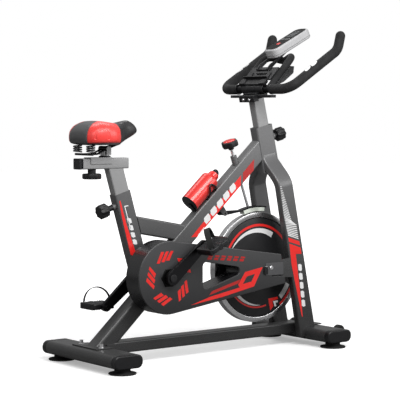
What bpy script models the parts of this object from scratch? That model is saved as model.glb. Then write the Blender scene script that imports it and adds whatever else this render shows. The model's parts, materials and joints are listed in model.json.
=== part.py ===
"""Indoor cycling bike: welded tube frame, belt-driven flywheel, adjustable saddle and handlebar.

Metres, +X to the front, +Y to the rider's left, +Z up, floor at z = 0.
Everything is placed from the middle of the rear stabiliser, and the whole bike is
moved at the end so that the origin lies on the floor under the middle of its box.
"""

from math import acos, atan2, cos, hypot, pi, radians, sin, sqrt, tan

import bmesh
import bpy
from mathutils import Matrix, Vector

# ---------------------------------------------------------------- driving dimensions
GAP = 0.0003                    # clearance between touching pieces

# Stabilisers and feet
WHEELBASE = 0.930               # rear stabiliser centre to front stabiliser centre
STAB_DEPTH = 0.112              # stabiliser section, along X
STAB_HEIGHT = 0.045
STAB_CORNER = 0.020
REAR_STAB_LENGTH = 0.450        # over the end caps
FRONT_STAB_LENGTH = 0.440
CAP_LENGTH = 0.024
FOOT_HEIGHT = 0.021
FOOT_RADIUS = 0.047
FOOT_NECK_RADIUS = 0.027
FOOT_DISC = 0.007
FOOT_INSET = 0.040              # foot centre in from the stabiliser's end

# Frame tubes
BASE_WIDTH = 0.060
BASE_LOW = 0.038
BASE_HIGH = 0.078
LEG_WIDTH = 0.060               # rear leg
LEG_DEPTH = 0.060
LEG_SLOPE = radians(42.1)
LEG_FOOT_X = -0.0354            # where the leg's centre line meets the floor plane
MAIN_WIDTH = 0.042
MAIN_DEPTH = 0.066
MAIN_SLOPE = radians(41.8)
CRANK_X = 0.238
CRANK_Z = 0.294
MAIN_ABOVE_CRANK = -0.007       # main tube's centre line, square to it, from the crank axis
CROSS_WIDTH = 0.040
CROSS_DEPTH = 0.058
CROSS_TOP_Z = 0.501             # cross tube's top edge at the seat tube
CROSS_FALL = radians(10.8)
TUBE_CORNER = 0.006
LEG_CORNER = 0.012
POST_CORNER = 0.004
PLATE_THICKNESS = 0.004
REAR_PLATE_START = -0.028
REAR_PLATE_HALF = 0.075
FRONT_PLATE_HALF = 0.058

# Seat tube, post and saddle carrier
SEAT_TILT = radians(16.3)
SEAT_SLEEVE_DEPTH = 0.065
SEAT_SLEEVE_WIDTH = 0.040
SEAT_SLEEVE_TOP = 0.583
SEAT_AHEAD = -0.0345            # seat tube's centre line, square to it, from the crank axis
SEAT_POST_DEPTH = 0.058
SEAT_POST_WIDTH = 0.033
SEAT_POST_INSERT = 0.190
BAR_LOW = 0.665                 # fore-and-aft bar on top of the post
BAR_HEIGHT = 0.036
BAR_WIDTH = 0.038
BAR_REAR = -0.056
BAR_FRONT = 0.142
BAR_WALL = 0.0025
PLUG_LENGTH = 0.016
SLOT_WIDTH = 0.012
SLIDER_REAR = -0.012
SLIDER_FRONT = 0.073
SLIDER_SKIN = 0.0025
SLIDER_SIDE = 0.019             # how far the slider's cheeks reach down the bar
SLIDER_TRAVEL = 0.030
SLIDER_BOLT_X = 0.005
SLIDER_BOLT_RADIUS = 0.005
SLIDER_KNOB_RADIUS = 0.033
SLIDER_KNOB_HEIGHT = 0.019
SLIDER_KNOB_TOP = 0.650
SADDLE_POST_X = 0.057
SADDLE_POST_RADIUS = 0.0145
SADDLE_PIVOT_Z = 0.733
BARREL_RADIUS = 0.009
BARREL_HALF = 0.022
YOKE_THICKNESS = 0.004
RAIL_RADIUS = 0.0035
RAIL_Y = 0.015
RAIL_NOSE_X = 0.112             # where the rails reach the saddle's underside
RAIL_NOSE_Y = 0.010
SADDLE_WIDTH = 0.200
SADDLE_REAR = -0.052
SADDLE_NOSE = 0.188
SADDLE_LOW = 0.747
SADDLE_HIGH = 0.827
SPRING_RADIUS = 0.013
SPRING_WIRE = 0.0022
SPRING_TURNS = 4
SPRING_X = -0.025
SPRING_Y = 0.040
SPRING_FOOT_Z = 0.7145          # cross wire under the springs

# Head sleeve, fork legs and handlebar post
HEAD_TILT = radians(13.0)
HEAD_DEPTH = 0.077
HEAD_WIDTH = 0.041
HEAD_WALL = 0.0022
HEAD_TOP = 0.804
HEAD_TOP_X = 0.7375
HEAD_LOW = 0.640
BAR_POST_DEPTH = 0.050
BAR_POST_WIDTH = 0.0324
BAR_POST_TOP = 0.905
BAR_POST_INSERT = 0.118
BUSH_LENGTH = 0.026
FORK_TOP = 0.705                # height where the legs leave the head sleeve
FORK_SPREAD_LOW = 0.585         # height where the legs run parallel
FORK_OUTER = 0.090
FORK_THICKNESS = 0.030
FORK_DEPTH_TOP = 0.064
FORK_DEPTH_FOOT = 0.074
FORK_LEAN = 0.200               # forward run per unit of drop
FORK_TOP_X = 0.760
FORK_END_Z = 0.040
DROPOUT_THICKNESS = 0.006
DROPOUT_RADIUS = 0.026
DROPOUT_ROOT = 0.075

# Flywheel, crank, belt
WHEEL_X = 0.715
WHEEL_Z = 0.292
WHEEL_RADIUS = 0.200
RIM_WIDTH = 0.028
RIM_DEPTH = 0.020
WEB_WIDTH = 0.008
HUB_RADIUS = 0.024
HUB_LEFT = 0.030
AXLE_RADIUS = 0.006
AXLE_NUT = 0.0095               # half the nut's width across flats
AXLE_NUT_LENGTH = 0.009
PULLEY_Y = -0.058               # middle of the belt line
PULLEY_WIDTH = 0.016
BELT_WIDTH = 0.013
BELT_THICKNESS = 0.004
FLANGE = 0.0012
DRIVE_RADIUS = 0.090
DRIVEN_RADIUS = 0.022
SPINDLE_RADIUS = 0.0085
SHELL_RADIUS = 0.022
SHELL_WALL = 0.003
SHELL_LEFT = 0.034
BEARING_WIDTH = 0.012
CRANK_LENGTH = 0.171
CRANK_ANGLE = radians(39.0)
RIGHT_ARM_Y = -0.137            # middle of the right crank arm
LEFT_ARM_Y = 0.068
ARM_THICKNESS = 0.014
ARM_HUB_RADIUS = 0.024
ARM_EYE_RADIUS = 0.016
PEDAL_LENGTH = 0.088            # along the pedal spindle
PEDAL_DEPTH = 0.096
PEDAL_HEIGHT = 0.022
RIGHT_PEDAL_PITCH = radians(28.0)
PEDAL_GAP = 0.004               # pedal to crank arm
PEDAL_SPINDLE_RADIUS = 0.0055
STRAP_WIDTH = 0.020
STRAP_THICKNESS = 0.0025
STRAP_RISE = 0.054
STRAP_REACH = 0.048             # half the span over the pedal
STRAP_TURN = radians(42.0)      # from straight across, outer end to the rear

# Belt cover
COVER_OUTER_Y = -0.120
COVER_INNER_Y = -0.043
COVER_WALL = 0.0025
COVER_REAR_RADIUS = 0.125
COVER_END_TOP = (0.734, 0.347)
COVER_END_LOW = (0.757, 0.241)
WINDOW = ((0.382, 0.241), (0.542, 0.287), (0.545, 0.312), (0.382, 0.341))
WINDOW_CORNER = 0.014
NOTCH_REAR = 0.694
NOTCH_HEIGHT = 0.046

# Brake
BRAKE_TILT = radians(20.0)
BRAKE_KNOB_X = 0.594
BRAKE_KNOB_Z = 0.741
BRAKE_KNOB_RADIUS = 0.031
BRAKE_KNOB_HEIGHT = 0.022
ROD_RADIUS = 0.005
ROD_END_GAP = 0.0012
SLEEVE_RADIUS = 0.0115
SLEEVE_TOP_Z = 0.698
PAD_GAP = 0.0045
PAD_THICKNESS = 0.014
PAD_WIDTH = 0.026
PAD_START = radians(82.0)       # angles about the wheel's axis, from +X
PAD_END = radians(108.0)
ARM_PLATE = 0.005
BRAKE_PIVOT_X = 0.560
BRAKE_PIVOT_Z = 0.494
BRAKE_PIN_RADIUS = 0.004
LUG_THICKNESS = 0.004
LUG_GAP = 0.001

# Pull-pin knobs
PIN_RADIUS = 0.005
PIN_KNOB_RADIUS = 0.025
PIN_KNOB_LENGTH = 0.036
SEAT_KNOB_COLLAR = 0.020
HEAD_KNOB_COLLAR = 0.008
SEAT_KNOB_Z = 0.545
HEAD_KNOB_Z = 0.757
BOSS_RADIUS = 0.011
BOSS_LENGTH = 0.012

# Handlebar, holder and console
GRIP_RADIUS = 0.018
BAR_RADIUS = 0.0135              # bare bar between the foam grips
BAR_BARE = 0.100                # half the length of the bare bar
BAR_CENTRE_X = 0.710
BAR_CENTRE_Z = 0.9365
BAR_HALF_WIDTH = 0.190          # to the middle of the grip
GRIP_RISE = radians(31.8)
GRIP_LENGTH = 0.268
TIP_RISE = radians(76.0)
TIP_LENGTH = 0.054
LOOP_RADIUS = 0.0135
LOOP_HALF_WIDTH = 0.077
LOOP_RISE = radians(47.0)
LOOP_LENGTH = 0.170
LOOP_DIP = 0.030                # how far the loop's cross piece sags under the console
TRAY_WIDTH = 0.150
TRAY_START = 0.030              # along the loop from the bar's axis
TRAY_END = 0.092
CHEEK_OUTSIDE = 0.032           # half the width over the console's two cheeks
CHEEK_WIDTH = 0.006
TRAY_THICKNESS = 0.005
CLAMP_LENGTH = 0.116            # along the bar
CLAMP_WALL = 0.004
CLAMP_FOOT = 0.070              # width of the clamp's foot on the post
CONSOLE_X = 0.8635
CONSOLE_Z = 1.106
CONSOLE_LENGTH = 0.190
CONSOLE_WIDTH = 0.074
CONSOLE_THICKNESS = 0.034
CONSOLE_PITCH = radians(27.0)
BUTTON_RADIUS = 0.008
BUTTON_BACK = 0.040

# Bottle
BOTTLE_RADIUS = 0.033
BOTTLE_BODY = 0.132
BOTTLE_LENGTH = 0.178
BOTTLE_START = 0.289            # along the main tube from the crank axis
CAGE_WALL = 0.003
CAGE_LENGTH = 0.090
CAGE_WRAP = radians(112.0)

# Transport wheels
ROLLER_RADIUS = 0.023
ROLLER_WIDTH = 0.020
ROLLER_Y = 0.124
ROLLER_Z = 0.046
ROLLER_PIN = 0.004
CHEEK_GAP = 0.0006
CHEEK_THICKNESS = 0.003
ROLLER_AHEAD = 0.024            # wheel centre in front of the stabiliser's front face

# ---------------------------------------------------------------- derived places
STAB_MID_Z = FOOT_HEIGHT + STAB_HEIGHT / 2
STAB_TOP = FOOT_HEIGHT + STAB_HEIGHT
BASE_START = STAB_DEPTH / 2 - 0.012
BASE_END = WHEELBASE - STAB_DEPTH / 2 + 0.012
SHELL_RIGHT = COVER_INNER_Y + GAP
ROLLER_X = WHEELBASE + STAB_DEPTH / 2 + ROLLER_AHEAD
BOX_REAR = -STAB_DEPTH / 2
BOX_FRONT = ROLLER_X + ROLLER_RADIUS
MIDDLE_X = (BOX_REAR + BOX_FRONT) / 2
CRANK = Vector((CRANK_X, 0, CRANK_Z))
WHEEL = Vector((WHEEL_X, 0, WHEEL_Z))


def lean(tilt):
    """Unit vector that points up and leans to the rear by tilt."""
    return Vector((-sin(tilt), 0, cos(tilt)))


def slope(angle):
    """Unit vector that rises to the front by angle."""
    return Vector((cos(angle), 0, sin(angle)))


def at_height(point, direction, z):
    """The point on a line where it reaches height z."""
    return point + direction * ((z - point.z) / direction.z)


SEAT_UP = lean(SEAT_TILT)
SEAT_AHEAD_DIR = Vector((cos(SEAT_TILT), 0, sin(SEAT_TILT)))
SEAT_LINE = CRANK + SEAT_AHEAD_DIR * SEAT_AHEAD
SEAT_TOP = at_height(SEAT_LINE, SEAT_UP, SEAT_SLEEVE_TOP)
HEAD_UP = lean(HEAD_TILT)
HEAD_AHEAD_DIR = Vector((cos(HEAD_TILT), 0, sin(HEAD_TILT)))
HEAD_TOP_POINT = Vector((HEAD_TOP_X, 0, HEAD_TOP))
MAIN_DIR = slope(MAIN_SLOPE)
MAIN_UP = Vector((-sin(MAIN_SLOPE), 0, cos(MAIN_SLOPE)))
MAIN_LINE = CRANK + MAIN_UP * MAIN_ABOVE_CRANK
LEG_DIR = slope(LEG_SLOPE)
LEG_UP = Vector((-sin(LEG_SLOPE), 0, cos(LEG_SLOPE)))
LEG_LINE = Vector((LEG_FOOT_X, 0, 0))
BRAKE_UP = lean(BRAKE_TILT)
BRAKE_LINE = Vector((BRAKE_KNOB_X, 0, BRAKE_KNOB_Z))
BRAKE_PIVOT = Vector((BRAKE_PIVOT_X, 0, BRAKE_PIVOT_Z))


# ---------------------------------------------------------------- materials
def finish(name, colour, roughness, metallic=0.0):
    """A Principled material with a plain colour."""
    material = bpy.data.materials.new(name)
    material.use_nodes = True
    shader = material.node_tree.nodes["Principled BSDF"]
    shader.inputs["Base Color"].default_value = (*colour, 1)
    shader.inputs["Roughness"].default_value = roughness
    shader.inputs["Metallic"].default_value = metallic
    material.diffuse_color = (*colour, 1)
    return material


# ---------------------------------------------------------------- outlines
def arc(centre, radius, start, end, steps):
    """Points on an arc, both ends included."""
    points = []
    for i in range(steps + 1):
        angle = start + (end - start) * i / steps
        points.append((centre[0] + radius * cos(angle), centre[1] + radius * sin(angle)))
    return points


def circle(radius, steps):
    return arc((0, 0), radius, 0, 2 * pi * (steps - 1) / steps, steps - 1)


def rounded_rectangle(width, height, radius, steps=3):
    """Counter-clockwise outline about the origin."""
    x = width / 2 - radius
    y = height / 2 - radius
    points = []
    for quarter, (cx, cy) in enumerate(((x, y), (-x, y), (-x, -y), (x, -y))):
        points += arc((cx, cy), radius, quarter * pi / 2, (quarter + 1) * pi / 2, steps)
    return points


def rounded_polygon(corners, radius, steps=3):
    """Counter-clockwise polygon with its corners rounded."""
    points = []
    count = len(corners)
    for i, corner in enumerate(corners):
        here = Vector(corner)
        back = (Vector(corners[i - 1]) - here).normalized()
        ahead = (Vector(corners[(i + 1) % count]) - here).normalized()
        half = back.angle(ahead) / 2
        centre = here + (back + ahead).normalized() * (radius / sin(half))
        first = here + back * (radius / tan(half)) - centre
        start = atan2(first.y, first.x)
        points += arc(centre, radius, start, start + pi - 2 * half, steps)
    return points


def link(first, first_radius, second, second_radius, steps=8):
    """Outline of two circles and their outer tangents."""
    apart = Vector(second) - Vector(first)
    facing = atan2(apart.y, apart.x)
    spread = acos((first_radius - second_radius) / apart.length)
    far = arc(first, first_radius, facing + spread, facing + 2 * pi - spread, steps)
    near = arc(second, second_radius, facing - spread, facing + spread, steps)
    return far + near


def sector(centre, inner, outer, start, end, steps):
    """Outline of a piece of a ring."""
    return arc(centre, outer, start, end, steps) + arc(centre, inner, end, start, steps)


def inset(outline, distance):
    """Counter-clockwise outline moved inwards by a distance."""
    moved = []
    count = len(outline)
    for i, point in enumerate(outline):
        here = Vector(point)
        back = (here - Vector(outline[i - 1])).normalized()
        ahead = (Vector(outline[(i + 1) % count]) - here).normalized()
        inward = Vector((-back.y - ahead.y, back.x + ahead.x)).normalized()
        square = Vector((-ahead.y, ahead.x))
        moved.append(tuple(here + inward * (distance / inward.dot(square))))
    return moved


def lobed(radius, depth, lobes, steps):
    """Outline of a lobed hand knob."""
    points = []
    for i in range(steps):
        angle = 2 * pi * i / steps
        r = radius - depth * (0.5 - 0.5 * cos(lobes * angle))
        points.append((r * cos(angle), r * sin(angle)))
    return points


# ---------------------------------------------------------------- solids
def close_loops(bm, rings, closed=False):
    """Skin a list of vertex rings, with flat ends or as a closed loop."""
    pairs = list(zip(rings, rings[1:]))
    if closed:
        pairs.append((rings[-1], rings[0]))
    for low, high in pairs:
        count = len(low)
        for i in range(count):
            j = (i + 1) % count
            bm.faces.new((low[i], low[j], high[j], high[i]))
    if not closed:
        bm.faces.new(list(reversed(rings[0])))
        bm.faces.new(rings[-1])


def prism(outline, low, high, low_bevel=0.0, high_bevel=0.0):
    """Outline in XY, extruded along Z, with a bevel at either end."""
    bm = bmesh.new()
    size = max(hypot(*point) for point in outline)
    levels = [(low + low_bevel, 1.0), (high - high_bevel, 1.0)]
    if low_bevel:
        levels.insert(0, (low, 1 - low_bevel / size))
    if high_bevel:
        levels.append((high, 1 - high_bevel / size))
    rings = []
    for z, scale in levels:
        rings.append([bm.verts.new((x * scale, y * scale, z)) for x, y in outline])
    close_loops(bm, rings)
    return bm


def pipe(outer, inner, low, high):
    """Hollow prism between two outlines with as many points."""
    bm = bmesh.new()
    rings = []
    for outline, z in ((outer, low), (outer, high), (inner, high), (inner, low)):
        rings.append([bm.verts.new((x, y, z)) for x, y in outline])
    close_loops(bm, rings, closed=True)
    return bm


def slab(outline, y_low, y_high):
    """Outline in XZ, extruded along Y."""
    bm = bmesh.new()
    rings = []
    for y in (y_low, y_high):
        rings.append([bm.verts.new((x, y, z)) for x, z in outline])
    close_loops(bm, rings)
    return bm


def ring_slab(outer, inner, y_low, y_high):
    """Hollow slab between two XZ outlines with as many points."""
    bm = bmesh.new()
    rings = []
    for outline, y in ((outer, y_low), (outer, y_high), (inner, y_high), (inner, y_low)):
        rings.append([bm.verts.new((x, y, z)) for x, z in outline])
    close_loops(bm, rings, closed=True)
    return bm


def lathe(profile, steps, closed=False):
    """Turn (radius, height) points about Z; profile climbs its outer side.

    A closed profile makes a ring; an open one starts and ends on the axis.
    """
    bm = bmesh.new()
    rings = []
    for radius, z in profile:
        if radius == 0:
            rings.append([bm.verts.new((0, 0, z))])
        else:
            rings.append([bm.verts.new((x, y, z)) for x, y in circle(radius, steps)])
    pairs = list(zip(rings, rings[1:]))
    if closed:
        pairs.append((rings[-1], rings[0]))
    for low, high in pairs:
        for i in range(steps):
            j = (i + 1) % steps
            if len(low) == 1:
                bm.faces.new((low[0], high[j], high[i]))
            elif len(high) == 1:
                bm.faces.new((low[i], low[j], high[0]))
            else:
                bm.faces.new((low[i], low[j], high[j], high[i]))
    return bm


def sweep(path, sections, side=Vector((0, 1, 0))):
    """Skin sections along a path; each section's Y axis stays as near side as it can."""
    bm = bmesh.new()
    rings = []
    for i, point in enumerate(path):
        before = path[max(i - 1, 0)]
        after = path[min(i + 1, len(path) - 1)]
        along = (after - before).normalized()
        across = along.cross(side).normalized()
        lateral = across.cross(along).normalized()
        outline = sections[i] if isinstance(sections[0], list) else sections
        ring = [bm.verts.new(point - across * x + lateral * y) for x, y in outline]
        rings.append(ring)
    close_loops(bm, rings)
    return bm


def round_tube(path, radius, sides):
    """A round bar along a path, with frames carried from point to point."""
    bm = bmesh.new()
    rings = []
    across = None
    for i, point in enumerate(path):
        before = path[max(i - 1, 0)]
        after = path[min(i + 1, len(path) - 1)]
        along = (after - before).normalized()
        if across is None:
            guide = Vector((0, 0, 1)) if abs(along.z) < 0.9 else Vector((1, 0, 0))
            across = along.cross(guide).normalized()
        across = (across - along * across.dot(along)).normalized()
        up = along.cross(across)
        rings.append([bm.verts.new(point + across * x + up * y) for x, y in circle(radius, sides)])
    close_loops(bm, rings)
    return bm


def smooth_path(corners, radius, steps=6):
    """A polyline in space with its inner corners rounded by arcs."""
    path = [Vector(corners[0])]
    for before, here, after in zip(corners, corners[1:], corners[2:]):
        here = Vector(here)
        back = (Vector(before) - here).normalized()
        ahead = (Vector(after) - here).normalized()
        half = back.angle(ahead) / 2
        shorter = min((Vector(before) - here).length, (Vector(after) - here).length)
        run = min(radius / tan(half), 0.48 * shorter)
        bend = run * tan(half)
        centre = here + (back + ahead).normalized() * (bend / sin(half))
        first = here + back * run - centre
        last = here + ahead * run - centre
        for i in range(steps + 1):
            path.append(centre + first.slerp(last, i / steps) * bend)
    path.append(Vector(corners[-1]))
    return path


# ---------------------------------------------------------------- objects
def turned(axis):
    """Rotation that takes +Z to an axis in the XZ plane or along Y, keeping Y square to it."""
    axis = Vector(axis).normalized()
    if abs(axis.y) > 0.5:
        return Matrix.Rotation(-pi / 2 if axis.y > 0 else pi / 2, 4, "X")
    return Matrix.Rotation(atan2(axis.x, axis.z), 4, "Y")


def piece(name, bm, material, place=(0, 0, 0), axis=(0, 0, 1), parent=None, flat=30):
    """A named object from a bmesh, standing at a place with its Z along an axis."""
    bmesh.ops.recalc_face_normals(bm, faces=bm.faces)
    mesh = bpy.data.meshes.new(name)
    bm.to_mesh(mesh)
    bm.free()
    mesh.materials.append(material)
    mesh.shade_smooth()
    mesh.set_sharp_from_angle(angle=radians(flat))
    obj = bpy.data.objects.new(name, mesh)
    bpy.context.scene.collection.objects.link(obj)
    obj.rotation_euler = turned(axis).to_euler()
    obj.location = place
    if parent:
        obj.parent = parent
        obj.location = Vector(place) - world_place(parent)
    return obj


def pivot(name, place, parent=None):
    """An empty on a joint's axis."""
    empty = bpy.data.objects.new(name, None)
    empty.empty_display_size = 0.04
    bpy.context.scene.collection.objects.link(empty)
    empty.location = Vector(place) - (world_place(parent) if parent else Vector())
    empty.parent = parent
    return empty


def shape(target, bm, operation, place=(0, 0, 0), axis=(0, 0, 1)):
    """Cut a bmesh from a piece, or join it to the piece."""
    tool = piece(f"{target.name}_tool", bm, target.data.materials[0], place, axis)
    tool.hide_render = True
    tool.display_type = "WIRE"
    if target.parent:
        tool.location = Vector(place) - world_place(target.parent)
        tool.parent = target.parent
    modifier = target.modifiers.new(operation.title(), "BOOLEAN")
    modifier.operation = operation
    modifier.solver = "EXACT"
    modifier.object = tool
    return tool


def world_place(obj):
    """Sum of an unrotated parent chain's locations."""
    place = obj.location.copy()
    while obj.parent:
        obj = obj.parent
        place += obj.location
    return place


def cut(target, bm, place=(0, 0, 0), axis=(0, 0, 1)):
    return shape(target, bm, "DIFFERENCE", place, axis)


def join(target, bm, place=(0, 0, 0), axis=(0, 0, 1)):
    return shape(target, bm, "UNION", place, axis)


def block(low, high):
    """An axis-aligned box from its two corners."""
    centre = (Vector(low) + Vector(high)) / 2
    size = Vector(high) - Vector(low)
    bm = bmesh.new()
    bmesh.ops.create_cube(bm, size=1, matrix=Matrix.Translation(centre) @ Matrix.Diagonal((*size, 1)))
    return bm


def half_space(size=0.6):
    """A big box that fills everything above its own origin."""
    return block((-size, -size, 0), (size, size, size))


# ---------------------------------------------------------------- base
def stabilizer_section(clearance=0.0):
    wider = 2 * clearance
    return rounded_rectangle(STAB_DEPTH + wider, STAB_HEIGHT + wider, STAB_CORNER + clearance, 4)


def stabilizer(end, x, length, steel, plastic, rubber):
    """Oval cross tube with two end caps and two feet; returns the tube."""
    half = length / 2 - CAP_LENGTH
    bar = prism(stabilizer_section(), -half, half)
    tube = piece(f"{end}_stabilizer", bar, steel, (x, 0, STAB_MID_Z), (0, 1, 0))
    for side, sign in (("left", 1), ("right", -1)):
        cap = prism(stabilizer_section(), 0, CAP_LENGTH - GAP, high_bevel=0.003)
        piece(f"{end}_cap_{side}", cap, plastic, (x, sign * (half + GAP), STAB_MID_Z), (0, sign, 0))
        top = FOOT_HEIGHT - GAP
        profile = [(0, 0), (FOOT_RADIUS - 0.002, 0), (FOOT_RADIUS, 0.002),
                   (FOOT_RADIUS - 0.001, FOOT_DISC - 0.002),
                   (FOOT_NECK_RADIUS + 0.006, FOOT_DISC), (FOOT_NECK_RADIUS, FOOT_DISC + 0.004),
                   (FOOT_NECK_RADIUS, top), (0, top)]
        piece(f"{end}_foot_{side}", lathe(profile, 28), rubber, (x, sign * (length / 2 - FOOT_INSET), 0))
    return tube


def stabilizer_cutter():
    return prism(stabilizer_section(GAP), -0.3, 0.3)


def base_tube_bm(clearance=0.0):
    section = rounded_rectangle(BASE_HIGH - BASE_LOW + 2 * clearance, BASE_WIDTH + 2 * clearance, TUBE_CORNER)
    return prism(section, 0, BASE_END - BASE_START)


def mount_plate(rear, front, half_width):
    low = STAB_TOP + GAP
    return block((rear, -half_width, low), (front, half_width, low + PLATE_THICKNESS))


def base(steel, plastic, rubber):
    stabilizer("rear", 0, REAR_STAB_LENGTH, steel, plastic, rubber)
    front = stabilizer("front", WHEELBASE, FRONT_STAB_LENGTH, steel, plastic, rubber)
    tube = piece("base_tube", base_tube_bm(), steel, (BASE_START, 0, (BASE_LOW + BASE_HIGH) / 2), (1, 0, 0))
    join(tube, mount_plate(BASE_END - 0.006, WHEELBASE + STAB_DEPTH / 2 - 0.001, FRONT_PLATE_HALF))
    for x in (0, WHEELBASE):
        cut(tube, stabilizer_cutter(), (x, 0, STAB_MID_Z), (0, 1, 0))
    return front


def rollers(front, rubber):
    """Two transport wheels on pins between cheeks welded to the front stabiliser."""
    root = (WHEELBASE + STAB_DEPTH / 2 - STAB_CORNER, STAB_MID_Z)
    cheek = link((ROLLER_X, ROLLER_Z), 0.009, root, 0.014)
    for side, sign in (("left", 1), ("right", -1)):
        middle = sign * ROLLER_Y
        for edge in (-1, 1):
            inner = middle + edge * (ROLLER_WIDTH / 2 + CHEEK_GAP)
            outer = inner + edge * CHEEK_THICKNESS
            join(front, slab(cheek, min(inner, outer), max(inner, outer)))
        reach = ROLLER_WIDTH / 2 + CHEEK_GAP + CHEEK_THICKNESS / 2
        join(front, prism(circle(ROLLER_PIN, 16), -reach, reach), (ROLLER_X, middle, ROLLER_Z), (0, 1, 0))
        half = ROLLER_WIDTH / 2
        profile = [(ROLLER_PIN + GAP, -half), (ROLLER_RADIUS - 0.002, -half), (ROLLER_RADIUS, -half + 0.002),
                   (ROLLER_RADIUS, half - 0.002), (ROLLER_RADIUS - 0.002, half), (ROLLER_PIN + GAP, half)]
        place = (ROLLER_X, middle, ROLLER_Z)
        piece(f"transport_wheel_{side}", lathe(profile, 28, closed=True), rubber, place, (0, 1, 0))


# ---------------------------------------------------------------- frame
def rear_leg(steel):
    section = rounded_rectangle(LEG_DEPTH, LEG_WIDTH, LEG_CORNER)
    leg = piece("rear_leg", prism(section, 0, 0.42), steel, LEG_LINE, LEG_DIR)
    behind = SEAT_LINE - SEAT_AHEAD_DIR * (SEAT_SLEEVE_DEPTH / 2 + GAP)
    cut(leg, half_space(), behind, SEAT_AHEAD_DIR)
    join(leg, mount_plate(REAR_PLATE_START, BASE_START - GAP, REAR_PLATE_HALF))
    cut(leg, block((-0.2, -0.1, -0.1), (0.2, 0.1, STAB_MID_Z)))
    cut(leg, stabilizer_cutter(), (0, 0, STAB_MID_Z), (0, 1, 0))
    middle = (BASE_LOW + BASE_HIGH) / 2
    cut(leg, base_tube_bm(GAP), (BASE_START - GAP, 0, middle), (1, 0, 0))
    cut(leg, block((STAB_DEPTH / 2 - 0.02, -0.1, -0.1), (0.3, 0.1, BASE_HIGH - TUBE_CORNER)))


def seat_tube(steel):
    """Hollow sleeve for the seat post, with the crank's bearing shell at its foot."""
    outer = rounded_rectangle(SEAT_SLEEVE_DEPTH, SEAT_SLEEVE_WIDTH, TUBE_CORNER)
    bore = rounded_rectangle(SEAT_POST_DEPTH + 2 * GAP, SEAT_POST_WIDTH + 2 * GAP, POST_CORNER + GAP)
    tube = piece("seat_tube", pipe(outer, bore, -0.46, 0), steel, SEAT_TOP, SEAT_UP)
    below = LEG_LINE - LEG_UP * (LEG_DEPTH / 2)
    cut(tube, half_space(), below, -LEG_UP)
    join(tube, prism(circle(SHELL_RADIUS, 32), SHELL_RIGHT, SHELL_LEFT), CRANK, (0, 1, 0))
    cut(tube, prism(circle(SHELL_RADIUS - SHELL_WALL, 32), -0.1, 0.1), CRANK, (0, 1, 0))
    pin_boss(tube, SEAT_LINE, SEAT_UP, -SEAT_AHEAD_DIR, SEAT_KNOB_Z, SEAT_SLEEVE_DEPTH, SEAT_POST_DEPTH)


def pin_boss(tube, line, up, out, z, depth, post_depth):
    """Threaded boss for a pull pin, bored through the sleeve's wall."""
    at = at_height(line, up, z)
    join(tube, prism(circle(BOSS_RADIUS, 20), depth / 2 - 0.001, depth / 2 + BOSS_LENGTH), at, out)
    cut(tube, prism(circle(PIN_RADIUS + GAP, 20), post_depth / 2 - 0.004, depth / 2 + 0.04), at, out)


def main_tube(steel):
    section = rounded_rectangle(MAIN_DEPTH, MAIN_WIDTH, TUBE_CORNER)
    tube = piece("main_tube", prism(section, -0.06, 0.80), steel, MAIN_LINE, MAIN_DIR)
    ahead = SEAT_LINE + SEAT_AHEAD_DIR * (SEAT_SLEEVE_DEPTH / 2 + GAP)
    cut(tube, half_space(), ahead, -SEAT_AHEAD_DIR)
    behind = HEAD_TOP_POINT - HEAD_AHEAD_DIR * (HEAD_DEPTH / 2 + GAP)
    cut(tube, half_space(), behind, HEAD_AHEAD_DIR)
    cut(tube, prism(circle(SHELL_RADIUS + GAP, 32), -0.1, 0.1), CRANK, (0, 1, 0))
    crossing = at_height(BRAKE_LINE, BRAKE_UP, 0.64)
    sleeve_top = (at_height(BRAKE_LINE, BRAKE_UP, SLEEVE_TOP_Z) - crossing).length
    join(tube, prism(circle(SLEEVE_RADIUS, 24), 0, sleeve_top), crossing, BRAKE_UP)
    cut(tube, prism(circle(ROD_RADIUS + GAP, 20), -0.12, 0.12), crossing, BRAKE_UP)
    root = BRAKE_PIVOT + MAIN_UP * 0.042
    lug = link((BRAKE_PIVOT.x, BRAKE_PIVOT.z), 0.009, (root.x, root.z), 0.013)
    for sign in (-1, 1):
        inner = sign * (PAD_WIDTH / 2 + LUG_GAP)
        outer = inner + sign * LUG_THICKNESS
        join(tube, slab(lug, min(inner, outer), max(inner, outer)))
    cut(tube, prism(circle(BRAKE_PIN_RADIUS + GAP, 16), -0.03, 0.03), BRAKE_PIVOT, (0, 1, 0))


def cross_tube(steel):
    start = SEAT_LINE + SEAT_AHEAD_DIR * (SEAT_SLEEVE_DEPTH / 2)
    start = at_height(start, SEAT_UP, CROSS_TOP_Z)
    along = Vector((cos(CROSS_FALL), 0, -sin(CROSS_FALL)))
    down = Vector((-sin(CROSS_FALL), 0, -cos(CROSS_FALL)))
    middle = start + down * (CROSS_DEPTH / 2)
    section = rounded_rectangle(CROSS_DEPTH, CROSS_WIDTH, TUBE_CORNER)
    tube = piece("cross_tube", prism(section, -0.05, 0.32), steel, middle, along)
    ahead = SEAT_LINE + SEAT_AHEAD_DIR * (SEAT_SLEEVE_DEPTH / 2 + GAP)
    cut(tube, half_space(), ahead, -SEAT_AHEAD_DIR)
    cut(tube, half_space(), MAIN_LINE + MAIN_UP * (MAIN_DEPTH / 2 + GAP), -MAIN_UP)


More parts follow.
